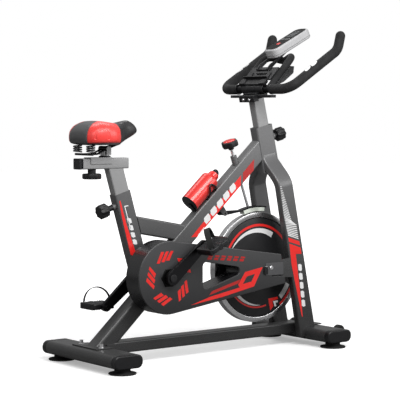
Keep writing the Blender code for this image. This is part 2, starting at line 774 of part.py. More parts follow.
def head_tube(steel, plastic):
    outer = rounded_rectangle(HEAD_DEPTH, HEAD_WIDTH, TUBE_CORNER)
    bore = rounded_rectangle(HEAD_DEPTH - 2 * HEAD_WALL, HEAD_WIDTH - 2 * HEAD_WALL, TUBE_CORNER - HEAD_WALL)
    length = (HEAD_TOP - HEAD_LOW) / cos(HEAD_TILT)
    tube = piece("head_tube", pipe(outer, bore, -length, 0), steel, HEAD_TOP_POINT, HEAD_UP)
    pin_boss(tube, HEAD_TOP_POINT, HEAD_UP, HEAD_AHEAD_DIR, HEAD_KNOB_Z, HEAD_DEPTH, BAR_POST_DEPTH)
    fit = HEAD_WALL + GAP
    bush = rounded_rectangle(HEAD_DEPTH - 2 * fit, HEAD_WIDTH - 2 * fit, TUBE_CORNER - fit)
    hole = rounded_rectangle(BAR_POST_DEPTH + 2 * GAP, BAR_POST_WIDTH + 2 * GAP, POST_CORNER + GAP)
    piece("head_bushing", pipe(bush, hole, -BUSH_LENGTH, -0.001), plastic, HEAD_TOP_POINT, HEAD_UP)


def fork_side(z):
    """Sideways place of a fork leg's middle: out from under the head sleeve, then straight."""
    near = HEAD_WIDTH / 2 - FORK_THICKNESS / 2
    far = FORK_OUTER - FORK_THICKNESS / 2
    part = min(max((FORK_TOP - z) / (FORK_TOP - FORK_SPREAD_LOW), 0), 1)
    return near + (far - near) * (0.5 - 0.5 * cos(pi * part))


def fork_legs(steel):
    heights = [FORK_TOP + 0.008]
    bends = 12
    for i in range(bends + 1):
        heights.append(FORK_TOP + (FORK_SPREAD_LOW - FORK_TOP) * i / bends)
    heights.append(FORK_END_Z)
    root_x = FORK_TOP_X + FORK_LEAN * (FORK_TOP - WHEEL_Z) - FORK_DEPTH_TOP / 4
    plate = link((WHEEL.x, WHEEL.z), DROPOUT_RADIUS, (root_x, WHEEL.z), DROPOUT_ROOT / 2)
    for side, sign in (("left", 1), ("right", -1)):
        path = []
        sections = []
        for z in heights:
            path.append(Vector((FORK_TOP_X + FORK_LEAN * (FORK_TOP - z), sign * fork_side(z), z)))
            share = (FORK_TOP - z) / (FORK_TOP - FORK_END_Z)
            depth = FORK_DEPTH_TOP + (FORK_DEPTH_FOOT - FORK_DEPTH_TOP) * share
            sections.append(rounded_rectangle(depth, FORK_THICKNESS, TUBE_CORNER, 2))
        leg = piece(f"fork_leg_{side}", sweep(path, sections), steel)
        outer = sign * (FORK_OUTER - 0.0005)
        inner = outer - sign * DROPOUT_THICKNESS
        join(leg, slab(plate, min(outer, inner), max(outer, inner)))
        sleeve = rounded_rectangle(HEAD_DEPTH + 2 * GAP, HEAD_WIDTH + 2 * GAP, TUBE_CORNER + GAP)
        cut(leg, prism(sleeve, -0.17, 0.05), HEAD_TOP_POINT, HEAD_UP)
        cut(leg, stabilizer_cutter(), (WHEELBASE, 0, STAB_MID_Z), (0, 1, 0))
        cut(leg, block((WHEELBASE, -0.2, 0), (1.1, 0.2, STAB_MID_Z)))
        cut(leg, prism(circle(AXLE_RADIUS + GAP, 20), -0.2, 0.2), WHEEL, (0, 1, 0))


# ---------------------------------------------------------------- drive
def pulley_profile(bore, radius, hub_radius, web):
    """Closed half-section of a flanged belt pulley about its middle plane."""
    half = PULLEY_WIDTH / 2
    inside = half - FLANGE
    rim = radius - 0.006
    lip = radius + 0.003
    if hub_radius >= rim:
        return [(bore, -half), (lip, -half), (lip, -inside), (radius, -inside),
                (radius, inside), (lip, inside), (lip, half), (bore, half)]
    return [(bore, -half), (hub_radius, -half), (hub_radius, -web / 2), (rim, -web / 2), (rim, -half),
            (lip, -half), (lip, -inside), (radius, -inside), (radius, inside), (lip, inside), (lip, half),
            (rim, half), (rim, web / 2), (hub_radius, web / 2), (hub_radius, half), (bore, half)]


def flywheel(iron, steel, plastic):
    pivot_empty = pivot("flywheel_axis", WHEEL)
    hub_right = PULLEY_Y + PULLEY_WIDTH / 2 + GAP
    bore = AXLE_RADIUS + GAP
    web = WEB_WIDTH / 2
    rim = RIM_WIDTH / 2
    inside = WHEEL_RADIUS - RIM_DEPTH
    profile = [(bore, hub_right), (HUB_RADIUS, hub_right), (HUB_RADIUS, -web), (inside, -web),
               (inside + 0.003, -rim), (WHEEL_RADIUS - 0.002, -rim), (WHEEL_RADIUS, -rim + 0.002),
               (WHEEL_RADIUS, rim - 0.002), (WHEEL_RADIUS - 0.002, rim), (inside + 0.003, rim),
               (inside, web), (HUB_RADIUS, web), (HUB_RADIUS, HUB_LEFT), (bore, HUB_LEFT)]
    piece("flywheel", lathe(profile, 72, closed=True), iron, WHEEL, (0, 1, 0), pivot_empty)
    place = WHEEL + Vector((0, PULLEY_Y, 0))
    small = pulley_profile(bore, DRIVEN_RADIUS, DRIVEN_RADIUS, 0)
    piece("flywheel_pulley", lathe(small, 36, closed=True), plastic, place, (0, 1, 0), pivot_empty)
    outside = FORK_OUTER - 0.0005 + GAP
    reach = outside + AXLE_NUT_LENGTH
    rod = prism(circle(AXLE_RADIUS, 20), -reach - 0.004, reach + 0.004)
    axle = piece("flywheel_axle", rod, steel, WHEEL, (0, 1, 0))
    nut = circle(AXLE_NUT / cos(pi / 6), 6)
    join(axle, prism(nut, outside, reach), WHEEL, (0, 1, 0))
    join(axle, prism(nut, -reach, -outside), WHEEL, (0, 1, 0))


def belt(rubber):
    loops = []
    for extra in (BELT_THICKNESS, 0):
        big = DRIVE_RADIUS + GAP + extra
        small = DRIVEN_RADIUS + GAP + extra
        loops.append(link((CRANK.x, CRANK.z), big, (WHEEL.x, WHEEL.z), small, 32))
    low = PULLEY_Y - BELT_WIDTH / 2
    piece("drive_belt", ring_slab(loops[0], loops[1], low, low + BELT_WIDTH), rubber)


def pedal_set(side, sign, arm_y, angle, pitch, centre, steel, plastic, strap):
    """Crank arm, pedal spindle, pedal and toe strap on one side."""
    eye = CRANK + Vector((cos(angle), 0, sin(angle))) * CRANK_LENGTH
    low = arm_y - ARM_THICKNESS / 2
    outline = link((CRANK.x, CRANK.z), ARM_HUB_RADIUS, (eye.x, eye.z), ARM_EYE_RADIUS, 12)
    arm = piece(f"crank_arm_{side}", slab(outline, low, low + ARM_THICKNESS), steel)
    arm.data.transform(Matrix.Translation(-CRANK))
    arm.parent = centre
    cut(arm, prism(circle(SPINDLE_RADIUS + GAP, 24), -0.2, 0.2), CRANK, (0, 1, 0))
    cut(arm, prism(circle(PEDAL_SPINDLE_RADIUS + GAP, 20), -0.2, 0.2), eye, (0, 1, 0))
    outside = arm_y + sign * ARM_THICKNESS / 2
    axis = (0, sign, 0)
    spindle = prism(circle(PEDAL_SPINDLE_RADIUS, 20), -ARM_THICKNESS, PEDAL_GAP + PEDAL_LENGTH - 0.012)
    piece(f"pedal_spindle_{side}", spindle, steel, eye + Vector((0, outside, 0)), axis, centre)
    hinge = pivot(f"pedal_axis_{side}", eye + Vector((0, outside + sign * PEDAL_GAP, 0)), centre)
    # The pedal and its strap are drawn about the spindle, then pitched round it.
    half = PEDAL_HEIGHT / 2
    body = rounded_rectangle(PEDAL_DEPTH, PEDAL_HEIGHT, 0.008, 3)
    solid = slab(body, min(0, sign * PEDAL_LENGTH), max(0, sign * PEDAL_LENGTH))
    pedal = piece(f"pedal_{side}", solid, plastic)
    middle = sign * PEDAL_LENGTH / 2
    loops = []
    for inner in (0, STRAP_THICKNESS):
        loop = []
        for i in range(19):
            y = (STRAP_REACH - inner) * cos(pi * i / 18)
            loop.append((y, half + GAP + (STRAP_RISE - inner) * sin(pi * i / 18)))
        loops.append(loop)
    outline = loops[0] + list(reversed(loops[1]))
    bm = bmesh.new()
    rings = [[bm.verts.new((x, y, z)) for y, z in outline] for x in (-STRAP_WIDTH / 2, STRAP_WIDTH / 2)]
    close_loops(bm, rings)
    turn = Matrix.Translation((0, middle, 0)) @ Matrix.Rotation(sign * STRAP_TURN, 4, "Z")
    bmesh.ops.transform(bm, matrix=turn, verts=bm.verts)
    toe = piece(f"toe_strap_{side}", bm, strap)
    for obj in (pedal, toe):
        obj.data.transform(Matrix.Rotation(-pitch, 4, "Y"))
        obj.parent = hinge
    bore_start, bore_end = sorted((sign * -0.01, sign * (PEDAL_LENGTH - 0.011)))
    bore = prism(circle(PEDAL_SPINDLE_RADIUS + GAP, 20), bore_start, bore_end)
    cut(pedal, bore, world_place(hinge), (0, 1, 0))


def crankset(steel, alloy, plastic, strap):
    centre = pivot("crank_axis", CRANK)
    right_end = RIGHT_ARM_Y - ARM_THICKNESS / 2
    left_end = LEFT_ARM_Y + ARM_THICKNESS / 2
    spindle = prism(circle(SPINDLE_RADIUS, 24), right_end, left_end)
    piece("crank_spindle", spindle, alloy, CRANK, (0, 1, 0), centre)
    large = pulley_profile(SPINDLE_RADIUS + GAP, DRIVE_RADIUS, 0.022, 0.005)
    pulley_at = CRANK + Vector((0, PULLEY_Y, 0))
    piece("drive_pulley", lathe(large, 56, closed=True), plastic, pulley_at, (0, 1, 0), centre)
    for side, y in (("right", SHELL_RIGHT + BEARING_WIDTH), ("left", SHELL_LEFT - BEARING_WIDTH)):
        outer = circle(SHELL_RADIUS - SHELL_WALL - GAP, 28)
        inner = circle(SPINDLE_RADIUS + GAP, 28)
        ring = pipe(outer, inner, -BEARING_WIDTH / 2, BEARING_WIDTH / 2)
        piece(f"crank_bearing_{side}", ring, alloy, CRANK + Vector((0, y, 0)), (0, 1, 0))
    pedal_set("right", -1, RIGHT_ARM_Y, CRANK_ANGLE, RIGHT_PEDAL_PITCH, centre, steel, plastic, strap)
    pedal_set("left", 1, LEFT_ARM_Y, CRANK_ANGLE + pi, 0, centre, steel, plastic, strap)


def cover_outline():
    """Round rear end about the crank, tapering to a blunt end at the flywheel."""
    first = Vector((CRANK.x, CRANK.z))
    ends = []
    for corner, turn in ((COVER_END_TOP, 1), (COVER_END_LOW, -1)):
        away = Vector(corner) - first
        ends.append(atan2(away.y, away.x) + turn * acos(COVER_REAR_RADIUS / away.length))
    rear = arc(first, COVER_REAR_RADIUS, ends[0], ends[1] + 2 * pi, 32)
    return rear + [COVER_END_LOW, COVER_END_TOP]


def cover(plastic):
    outline = cover_outline()
    outer = piece("cover_outer", slab(outline, COVER_OUTER_Y, COVER_INNER_Y), plastic)
    cut(outer, slab(inset(outline, COVER_WALL), COVER_OUTER_Y + COVER_WALL, COVER_INNER_Y + 0.02))
    window = rounded_polygon(WINDOW, WINDOW_CORNER, 3)
    join(outer, slab(inset(window, -COVER_WALL), COVER_OUTER_Y + 0.001, COVER_INNER_Y - COVER_WALL - GAP))
    cut(outer, slab(window, COVER_OUTER_Y - 0.01, COVER_INNER_Y + 0.03))
    cut(outer, prism(circle(SPINDLE_RADIUS + 0.004, 28), 0.1, 0.2), CRANK, (0, -1, 0))
    notch = NOTCH_HEIGHT / 2
    cut(outer, block((NOTCH_REAR, COVER_OUTER_Y - 0.01, WHEEL_Z - notch), (0.85, -0.07, WHEEL_Z + notch)))
    slot = DROPOUT_ROOT / 2 + 0.002
    inner_face = -FORK_OUTER + DROPOUT_THICKNESS + 0.003
    cut(outer, block((0.735, -FORK_OUTER - 0.002, WHEEL_Z - slot), (0.85, inner_face, WHEEL_Z + slot)))
    back_outline = inset(outline, COVER_WALL + GAP)
    back = piece("cover_inner", slab(back_outline, COVER_INNER_Y - COVER_WALL, COVER_INNER_Y), plastic)
    cut(back, slab(window, COVER_OUTER_Y - 0.01, COVER_INNER_Y + 0.03))
    cut(back, prism(circle(SPINDLE_RADIUS + 0.003, 28), -0.1, 0.1), CRANK, (0, 1, 0))
    cut(back, prism(circle(HUB_RADIUS + 0.003, 32), -0.1, 0.1), WHEEL, (0, 1, 0))


# ---------------------------------------------------------------- brake
def meet_circle(point, direction, centre, radius):
    """Where a falling line first comes within a radius of a centre."""
    toward = (centre - point).dot(direction)
    nearest = point + direction * toward
    off = (nearest - centre).length
    return nearest - direction * sqrt(radius * radius - off * off)


def brake(steel, plastic, felt):
    low = WHEEL_RADIUS + PAD_GAP
    high = low + PAD_THICKNESS
    half = PAD_WIDTH / 2
    centre = (WHEEL.x, WHEEL.z)
    piece("brake_pad", slab(sector(centre, low, high, PAD_START, PAD_END, 10), -half, half), felt)
    plate_low = high + GAP
    plate_high = plate_low + ARM_PLATE
    shoe = sector(centre, plate_low, plate_high, PAD_START - radians(2), PAD_END + radians(3), 10)
    arm = piece("brake_arm", slab(shoe, -half, half), steel)
    heel = arc(centre, (plate_low + plate_high) / 2, PAD_END, PAD_END + radians(2), 1)[1]
    join(arm, slab(link((BRAKE_PIVOT.x, BRAKE_PIVOT.z), 0.0075, heel, 0.0024), -half + 0.0005, half - 0.0005))
    reach = half + LUG_GAP + LUG_THICKNESS - 0.0005
    join(arm, prism(circle(BRAKE_PIN_RADIUS, 16), -reach, reach), BRAKE_PIVOT, (0, 1, 0))
    foot = meet_circle(BRAKE_LINE, -BRAKE_UP, WHEEL, plate_high + ROD_END_GAP)
    length = (BRAKE_LINE - foot).length
    slide = pivot("brake_slide", BRAKE_LINE)
    rod = prism(circle(ROD_RADIUS, 20), -length, BRAKE_KNOB_HEIGHT / 2 - 0.006)
    piece("brake_rod", rod, steel, BRAKE_LINE, BRAKE_UP, slide)
    half_knob = BRAKE_KNOB_HEIGHT / 2
    star = prism(lobed(BRAKE_KNOB_RADIUS, 0.004, 6, 48), -half_knob, half_knob, 0.003, 0.003)
    knob = piece("brake_knob", star, plastic, BRAKE_LINE, BRAKE_UP, slide)
    join(knob, prism(circle(0.010, 20), -half_knob - 0.010, 0), BRAKE_LINE, BRAKE_UP)
    cut(knob, prism(circle(ROD_RADIUS + GAP, 20), -0.03, half_knob - 0.0055), BRAKE_LINE, BRAKE_UP)


# ---------------------------------------------------------------- knobs with pull pins
def pin_knob(name, line, up, out, z, depth, post_depth, collar, plastic):
    at = at_height(line, up, z)
    slide = pivot(f"{name}_slide", at)
    boss_end = depth / 2 + BOSS_LENGTH + 0.0004
    head = boss_end + collar
    outline = lobed(PIN_KNOB_RADIUS, 0.0035, 8, 48)
    knob = piece(name, prism(outline, head, head + PIN_KNOB_LENGTH, 0.006, 0.004), plastic, at, out, slide)
    join(knob, prism(circle(BOSS_RADIUS - 0.001, 20), boss_end, head + 0.002), at, out)
    join(knob, prism(circle(PIN_RADIUS, 20), post_depth / 2 + 0.0006, head), at, out)


# ---------------------------------------------------------------- seat
def seat_post(steel):
    """Square post with the fore-and-aft bar welded across its top."""
    slide = pivot("seat_slide", SEAT_TOP)
    top = (at_height(SEAT_LINE, SEAT_UP, BAR_LOW + 0.03) - SEAT_TOP).length
    section = rounded_rectangle(SEAT_POST_DEPTH, SEAT_POST_WIDTH, POST_CORNER)
    post = piece("seat_post", prism(section, -SEAT_POST_INSERT, top), steel, SEAT_TOP, SEAT_UP, slide)
    cut(post, half_space(), (0.1, 0, BAR_LOW + BAR_WALL / 2), (0, 0, 1))
    outer = rounded_rectangle(BAR_HEIGHT, BAR_WIDTH, 0.004, 2)
    inner = rounded_rectangle(BAR_HEIGHT - 2 * BAR_WALL, BAR_WIDTH - 2 * BAR_WALL, 0.002, 2)
    rear = BAR_REAR + PLUG_LENGTH
    bar = pipe(outer, inner, 0, BAR_FRONT - rear)
    join(post, bar, (rear, 0, BAR_LOW + BAR_HEIGHT / 2), (1, 0, 0))
    half_slot = SLIDER_TRAVEL + SLIDER_BOLT_RADIUS + 0.001
    slot = block((SLIDER_BOLT_X - half_slot, -SLOT_WIDTH / 2, BAR_LOW - 0.01),
                 (SLIDER_BOLT_X + half_slot, SLOT_WIDTH / 2, BAR_LOW + BAR_HEIGHT + 0.01))
    cut(post, slot)
    return slide


def saddle_slider(seat, steel, plastic):
    """Channel that rides on the bar, with its clamp bolt, saddle post and yoke, and the star knob below."""
    slide = pivot("saddle_slide", (SLIDER_BOLT_X, 0, BAR_LOW), seat)
    top = BAR_LOW + BAR_HEIGHT
    outside = BAR_WIDTH / 2 + GAP + SLIDER_SKIN
    middle = (SLIDER_REAR + SLIDER_FRONT) / 2
    shell = block((SLIDER_REAR, -outside, top - SLIDER_SIDE),
                  (SLIDER_FRONT, outside, top + GAP + SLIDER_SKIN))
    bmesh.ops.translate(shell, verts=shell.verts, vec=(-middle, 0, -top))
    slider = piece("saddle_slider", shell, steel, (middle, 0, top), parent=slide)
    inside = BAR_WIDTH / 2 + GAP
    cut(slider, block((-0.1, -inside, top - 0.05), (0.2, inside, top + GAP)))
    bolt_low = SLIDER_KNOB_TOP - SLIDER_KNOB_HEIGHT + 0.004
    join(slider, prism(circle(SLIDER_BOLT_RADIUS, 16), bolt_low, top + GAP + 0.001), (SLIDER_BOLT_X, 0, 0))
    post_top = SADDLE_PIVOT_Z - BARREL_RADIUS - GAP
    join(slider, prism(circle(SADDLE_POST_RADIUS, 28), top + 0.001, post_top), (SADDLE_POST_X, 0, 0))
    ear = BARREL_HALF + GAP
    yoke = [(-0.009, -0.021), (0.009, -0.021), (0.009, 0.0)] + arc((0, 0), 0.009, 0, pi, 6)[1:]
    outline = [(SADDLE_POST_X + x, SADDLE_PIVOT_Z + z) for x, z in yoke]
    for sign in (-1, 1):
        inner = sign * ear
        outer = sign * (ear + YOKE_THICKNESS)
        join(slider, slab(outline, min(inner, outer), max(inner, outer)))
    bridge = SADDLE_PIVOT_Z - 0.021
    join(slider, block((SADDLE_POST_X - 0.0085, -ear - 0.001, bridge + 0.0005),
                       (SADDLE_POST_X + 0.0085, ear + 0.001, post_top - 0.0005)))
    turn = pivot("slider_knob_axis", (SLIDER_BOLT_X, 0, SLIDER_KNOB_TOP), slide)
    low = SLIDER_KNOB_TOP - SLIDER_KNOB_HEIGHT
    outline = lobed(SLIDER_KNOB_RADIUS, 0.004, 8, 48)
    at = (SLIDER_BOLT_X, 0, 0)
    knob = piece("slider_knob", prism(outline, low, SLIDER_KNOB_TOP, 0.003, 0.003), plastic, at, parent=turn)
    join(knob, prism(circle(0.014, 20), SLIDER_KNOB_TOP - 0.004, BAR_LOW - GAP), at)
    cut(knob, prism(circle(SLIDER_BOLT_RADIUS + GAP, 20), bolt_low - 0.0005, BAR_LOW + 0.01), at)
    return slide


def coil(radius, wire, turns, low, high):
    """Compression spring between two heights, with most of each end turn level."""
    path = []
    per_turn = 14
    steps = per_turn * turns
    level = 0.7 * per_turn
    for i in range(steps + 1):
        angle = 2 * pi * i / per_turn
        share = min(max((i - level) / (steps - 2 * level), 0), 1)
        height = low + wire + (high - low - 2 * wire) * share
        path.append(Vector((radius * cos(angle), radius * sin(angle), height)))
    return round_tube(path, wire, 6)


def saddle_half_width(x):
    """Saddle plan: rounded rear, widest over the sit bones, waisted into a narrow nose."""
    stations = ((SADDLE_REAR, 0.052), (-0.040, 0.076), (-0.020, 0.091), (0.010, 0.5 * SADDLE_WIDTH),
                (0.040, 0.098), (0.064, 0.088), (0.084, 0.066), (0.104, 0.044), (0.128, 0.030),
                (0.156, 0.024), (0.176, 0.019), (SADDLE_NOSE, 0.010))
    return stations_value(stations, x)


def stations_value(stations, x):
    """Straight interpolation in a short list of (x, value)."""
    for (x0, v0), (x1, v1) in zip(stations, stations[1:]):
        if x <= x1:
            return v0 + (v1 - v0) * (x - x0) / (x1 - x0)
    return stations[-1][1]


def saddle_top(x):
    stations = ((SADDLE_REAR, 0.792), (-0.030, 0.815), (0.005, SADDLE_HIGH - 0.001), (0.060, 0.819),
                (0.095, 0.816), (0.125, 0.823), (0.148, SADDLE_HIGH), (0.170, 0.818), (SADDLE_NOSE, 0.797))
    return stations_value(stations, x)


def saddle_low(x):
    stations = ((SADDLE_REAR, SADDLE_LOW + 0.004), (-0.040, SADDLE_LOW), (0.090, SADDLE_LOW), (0.110, 0.753),
                (0.150, 0.770), (SADDLE_NOSE, 0.787))
    return stations_value(stations, x)


def saddle(slider, steel, spring_steel, vinyl):
    """Padded saddle on a wire frame with two coil springs, tilting in the yoke."""
    centre = Vector((SADDLE_POST_X, 0, SADDLE_PIVOT_Z))
    tilt = pivot("saddle_tilt", centre, slider)
    barrel = prism(circle(BARREL_RADIUS, 20), -BARREL_HALF, BARREL_HALF)
    frame = piece("saddle_frame", barrel, steel, centre, (0, 1, 0), tilt)
    seat_z = SPRING_FOOT_Z
    nose_z = saddle_low(RAIL_NOSE_X) - 1.05 * RAIL_RADIUS - 0.0008
    for sign in (-1, 1):
        rail = [(SPRING_X, sign * RAIL_Y, seat_z), (0.018, sign * RAIL_Y, seat_z + 0.001),
                (SADDLE_POST_X, sign * RAIL_Y, SADDLE_PIVOT_Z), (RAIL_NOSE_X, sign * RAIL_NOSE_Y, nose_z)]
        join(frame, round_tube([Vector(p) for p in rail], RAIL_RADIUS, 8))
    reach = SPRING_Y + SPRING_RADIUS
    join(frame, prism(circle(RAIL_RADIUS + 0.0005, 10), -reach, reach), (SPRING_X, 0, seat_z), (0, 1, 0))
    low = seat_z + RAIL_RADIUS + 0.0005 + GAP
    for side, sign in (("left", 1), ("right", -1)):
        spring = coil(SPRING_RADIUS, SPRING_WIRE, SPRING_TURNS, low, SADDLE_LOW - GAP)
        piece(f"saddle_spring_{side}", spring, spring_steel, (SPRING_X, sign * SPRING_Y, 0), parent=tilt)
    bm = bmesh.new()
    rings = []
    around = 20
    count = 18
    for i in range(count + 1):
        x = SADDLE_REAR + (SADDLE_NOSE - SADDLE_REAR) * i / count
        half = saddle_half_width(x)
        low_z = saddle_low(x)
        high_z = saddle_top(x)
        ring = []
        for k in range(around):
            angle = 2 * pi * k / around
            c, s = cos(angle), sin(angle)
            y = half * abs(c) ** 0.6 * (1 if c >= 0 else -1)
            rise = abs(s) ** 0.75 if s >= 0 else -abs(s) ** 0.3
            middle = low_z + 0.4 * (high_z - low_z)
            z = middle + rise * (high_z - middle if rise >= 0 else middle - low_z)
            ring.append(bm.verts.new((x - centre.x, y, z - centre.z)))
        rings.append(ring)
    close_loops(bm, rings)
    piece("saddle", bm, vinyl, centre, parent=tilt)


# ---------------------------------------------------------------- handlebar
def handlebar(steel, plastic, foam, grey, glass):
    slide = pivot("handlebar_slide", HEAD_TOP_POINT)
    post_top = (at_height(HEAD_TOP_POINT, HEAD_UP, BAR_POST_TOP) - HEAD_TOP_POINT).length
    section = rounded_rectangle(BAR_POST_DEPTH, BAR_POST_WIDTH, POST_CORNER)
    post = prism(section, -BAR_POST_INSERT, post_top)
    piece("handlebar_post", post, steel, HEAD_TOP_POINT, HEAD_UP, slide)

    bar_centre = Vector((BAR_CENTRE_X, 0, BAR_CENTRE_Z))
    half = CLAMP_LENGTH / 2
    ring = prism(circle(BAR_RADIUS + GAP + CLAMP_WALL, 28), -half, half)
    clamp = piece("handlebar_clamp", ring, plastic, bar_centre, (0, 1, 0), slide)
    foot = HEAD_TOP_POINT + HEAD_UP * (post_top + GAP)
    block_height = (bar_centre - foot).dot(HEAD_UP) - 0.008
    foot_section = rounded_rectangle(BAR_POST_DEPTH + 0.010, CLAMP_FOOT, 0.005, 2)
    join(clamp, prism(foot_section, 0, block_height), foot, HEAD_UP)
    cut(clamp, prism(circle(BAR_RADIUS + GAP, 28), -0.1, 0.1), bar_centre, (0, 1, 0))

    tilt = pivot("handlebar_tilt", bar_centre, slide)
    core = prism(circle(BAR_RADIUS, 20), -BAR_BARE - 0.02, BAR_BARE + 0.02)
    bar = piece("handlebar", core, foam, bar_centre, (0, 1, 0), tilt)
    for sign in (-1, 1):
        start = bar_centre + Vector((0, sign * BAR_BARE, 0))
        corner = bar_centre + Vector((0, sign * BAR_HALF_WIDTH, 0))
        bend = corner + slope(GRIP_RISE) * GRIP_LENGTH
        tip = bend + slope(TIP_RISE) * TIP_LENGTH
        join(bar, round_tube(smooth_path([start, corner, bend, tip], 0.050, 6), GRIP_RADIUS, 16))
    up = slope(LOOP_RISE)
    out = Vector((-sin(LOOP_RISE), 0, cos(LOOP_RISE)))
    side = Vector((0, LOOP_HALF_WIDTH, 0))
    top = bar_centre + up * LOOP_LENGTH
    loop = [bar_centre - side, top - side, top - out * LOOP_DIP, top + side, bar_centre + side]
    join(bar, round_tube(smooth_path(loop, 0.034, 6), LOOP_RADIUS, 14))

    def local(u, n):
        point = bar_centre + up * u + out * n
        return (point.x, point.z)

    tray_low = LOOP_RADIUS + GAP
    tray_high = tray_low + TRAY_THICKNESS
    half_tray = TRAY_WIDTH / 2
    tray_outline = [local(TRAY_START, tray_low), local(TRAY_END, tray_low), local(TRAY_END, tray_high),
                    local(TRAY_START, tray_high)]
    holder = piece("device_holder", slab(tray_outline, -half_tray, half_tray), plastic)
    lip = [local(TRAY_START, tray_low + 0.001), local(TRAY_START + 0.004, tray_low + 0.001),
           local(TRAY_START + 0.004, tray_high + 0.016), local(TRAY_START, tray_high + 0.016)]
    join(holder, slab(lip, -half_tray + 0.010, half_tray - 0.010))

    console_centre = Vector((CONSOLE_X, 0, CONSOLE_Z))
    console_up = lean(CONSOLE_PITCH)
    console_along = slope(CONSOLE_PITCH)
    under = console_centre - console_up * (CONSOLE_THICKNESS / 2 + GAP)
    cheek = [local(TRAY_END + 0.006, tray_high + 0.010), local(TRAY_END - 0.018, tray_high + 0.010),
             local(TRAY_END - 0.022, tray_low + 0.001), local(TRAY_END - 0.001, tray_low + 0.001)]
    for back in (0.045, 0.075):
        point = under - console_along * back
        cheek.append((point.x, point.z))
    for inner in (-CHEEK_OUTSIDE, CHEEK_OUTSIDE - CHEEK_WIDTH):
        join(holder, slab(cheek, inner, inner + CHEEK_WIDTH))
    holder.data.transform(Matrix.Translation(-bar_centre))
    holder.parent = tilt

    outline = rounded_rectangle(CONSOLE_LENGTH, CONSOLE_WIDTH, 0.022, 4)
    shell = prism(outline, -CONSOLE_THICKNESS / 2, CONSOLE_THICKNESS / 2, 0.005, 0.005)
    console = piece("console", shell, grey, console_centre, console_up, tilt)
    seat = console_centre + console_up * (CONSOLE_THICKNESS / 2) - console_along * BUTTON_BACK
    cut(console, prism(circle(BUTTON_RADIUS + GAP, 20), -0.005, 0.01), seat, console_up)
    press = pivot("console_button_slide", seat, tilt)
    key = prism(circle(BUTTON_RADIUS, 20), -0.0028, 0.0015, 0, 0.0006)
    piece("console_button", key, glass, seat, console_up, press)


# ---------------------------------------------------------------- bottle
def bottle(plastic, aluminium):
    offset = MAIN_DEPTH / 2 + GAP + CAGE_WALL + GAP + BOTTLE_RADIUS
    start = MAIN_LINE + MAIN_DIR * BOTTLE_START + MAIN_UP * offset
    slide = pivot("bottle_slide", start)
    r = BOTTLE_RADIUS
    body = BOTTLE_BODY
    profile = [(0, 0), (r - 0.004, 0), (r, 0.004), (r, body - 0.012), (r - 0.006, body - 0.002),
               (0.019, body + 0.006), (0.019, body + 0.018), (0.012, body + 0.020),
               (0.012, BOTTLE_LENGTH - 0.002), (0.010, BOTTLE_LENGTH), (0, BOTTLE_LENGTH)]
    piece("bottle", lathe(profile, 28), aluminium, start, MAIN_DIR, slide)
    inner = r + GAP
    shell = sector((0, 0), inner, inner + CAGE_WALL, -CAGE_WRAP, CAGE_WRAP, 20)
    cage = piece("bottle_cage", prism(shell, -0.0034, CAGE_LENGTH), plastic, start, MAIN_DIR)
    edge = inner + CAGE_WALL - 0.0005
    stop = [(edge, -0.012), (edge, 0.012), (0.0, 0.012), (0.0, -0.012)]
    join(cage, prism(stop, -0.0033, -GAP), start, MAIN_DIR)


# ---------------------------------------------------------------- the whole bike
def build():
    for obj in list(bpy.data.objects):
        bpy.data.objects.remove(obj)
    steel = finish("frame_paint", (0.10, 0.10, 0.105), 0.42, 0.4)
    plastic = finish("black_plastic", (0.02, 0.02, 0.02), 0.5)
    cover_plastic = finish("cover_plastic", (0.045, 0.045, 0.048), 0.45)
    rubber = finish("black_rubber", (0.015, 0.015, 0.015), 0.8)
    foam = finish("grip_foam", (0.02, 0.02, 0.02), 0.9)
    iron = finish("flywheel_iron", (0.35, 0.35, 0.36), 0.25, 1.0)
    bright = finish("bright_steel", (0.6, 0.6, 0.6), 0.25, 1.0)
    dark_steel = finish("black_steel", (0.03, 0.03, 0.03), 0.4, 0.6)
    red = finish("red_anodised", (0.6, 0.03, 0.02), 0.3, 0.7)
    vinyl = finish("saddle_vinyl", (0.55, 0.03, 0.03), 0.5)
    grey = finish("console_shell", (0.55, 0.55, 0.56), 0.45)
    button = finish("console_button", (0.6, 0.03, 0.03), 0.35)
    felt = finish("brake_felt", (0.45, 0.43, 0.40), 0.95)
    front = base(steel, plastic, rubber)
    rollers(front, rubber)
    rear_leg(steel)
    seat_tube(steel)
    main_tube(steel)
    cross_tube(steel)
    head_tube(steel, plastic)
    fork_legs(steel)
    flywheel(iron, bright, dark_steel)
    belt(rubber)
    crankset(dark_steel, bright, plastic, rubber)
    cover(cover_plastic)
    brake(bright, plastic, felt)
    pin_knob("seat_knob", SEAT_LINE, SEAT_UP, -SEAT_AHEAD_DIR, SEAT_KNOB_Z, SEAT_SLEEVE_DEPTH,
             SEAT_POST_DEPTH, SEAT_KNOB_COLLAR, plastic)
    pin_knob("handlebar_knob", HEAD_TOP_POINT, HEAD_UP, HEAD_AHEAD_DIR, HEAD_KNOB_Z, HEAD_DEPTH,
             BAR_POST_DEPTH, HEAD_KNOB_COLLAR, plastic)
    seat = seat_post(steel)
    slider = saddle_slider(seat, bright, plastic)
    saddle(slider, dark_steel, dark_steel, vinyl)
    handlebar(steel, plastic, foam, grey, button)
    bottle(plastic, red)
    for obj in bpy.context.scene.objects:
        if obj.parent is None:
            obj.location.x -= MIDDLE_X


build()
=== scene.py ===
# %% [markdown]
# # An indoor cycling bike
#
# The welded frame, the drive and everything that moves come from a fixed frame of solids.
# Here the bike gets its looks: rounded edges, paint, foam, vinyl, stickers and small fittings.
# Each piece is made where it belongs, in metres, and then told which moving body it rides on.

# %% Load the fixed frame
import json
from math import cos, hypot, pi, radians, sin, tan

import bmesh
import bpy
from mathutils import Matrix, Vector

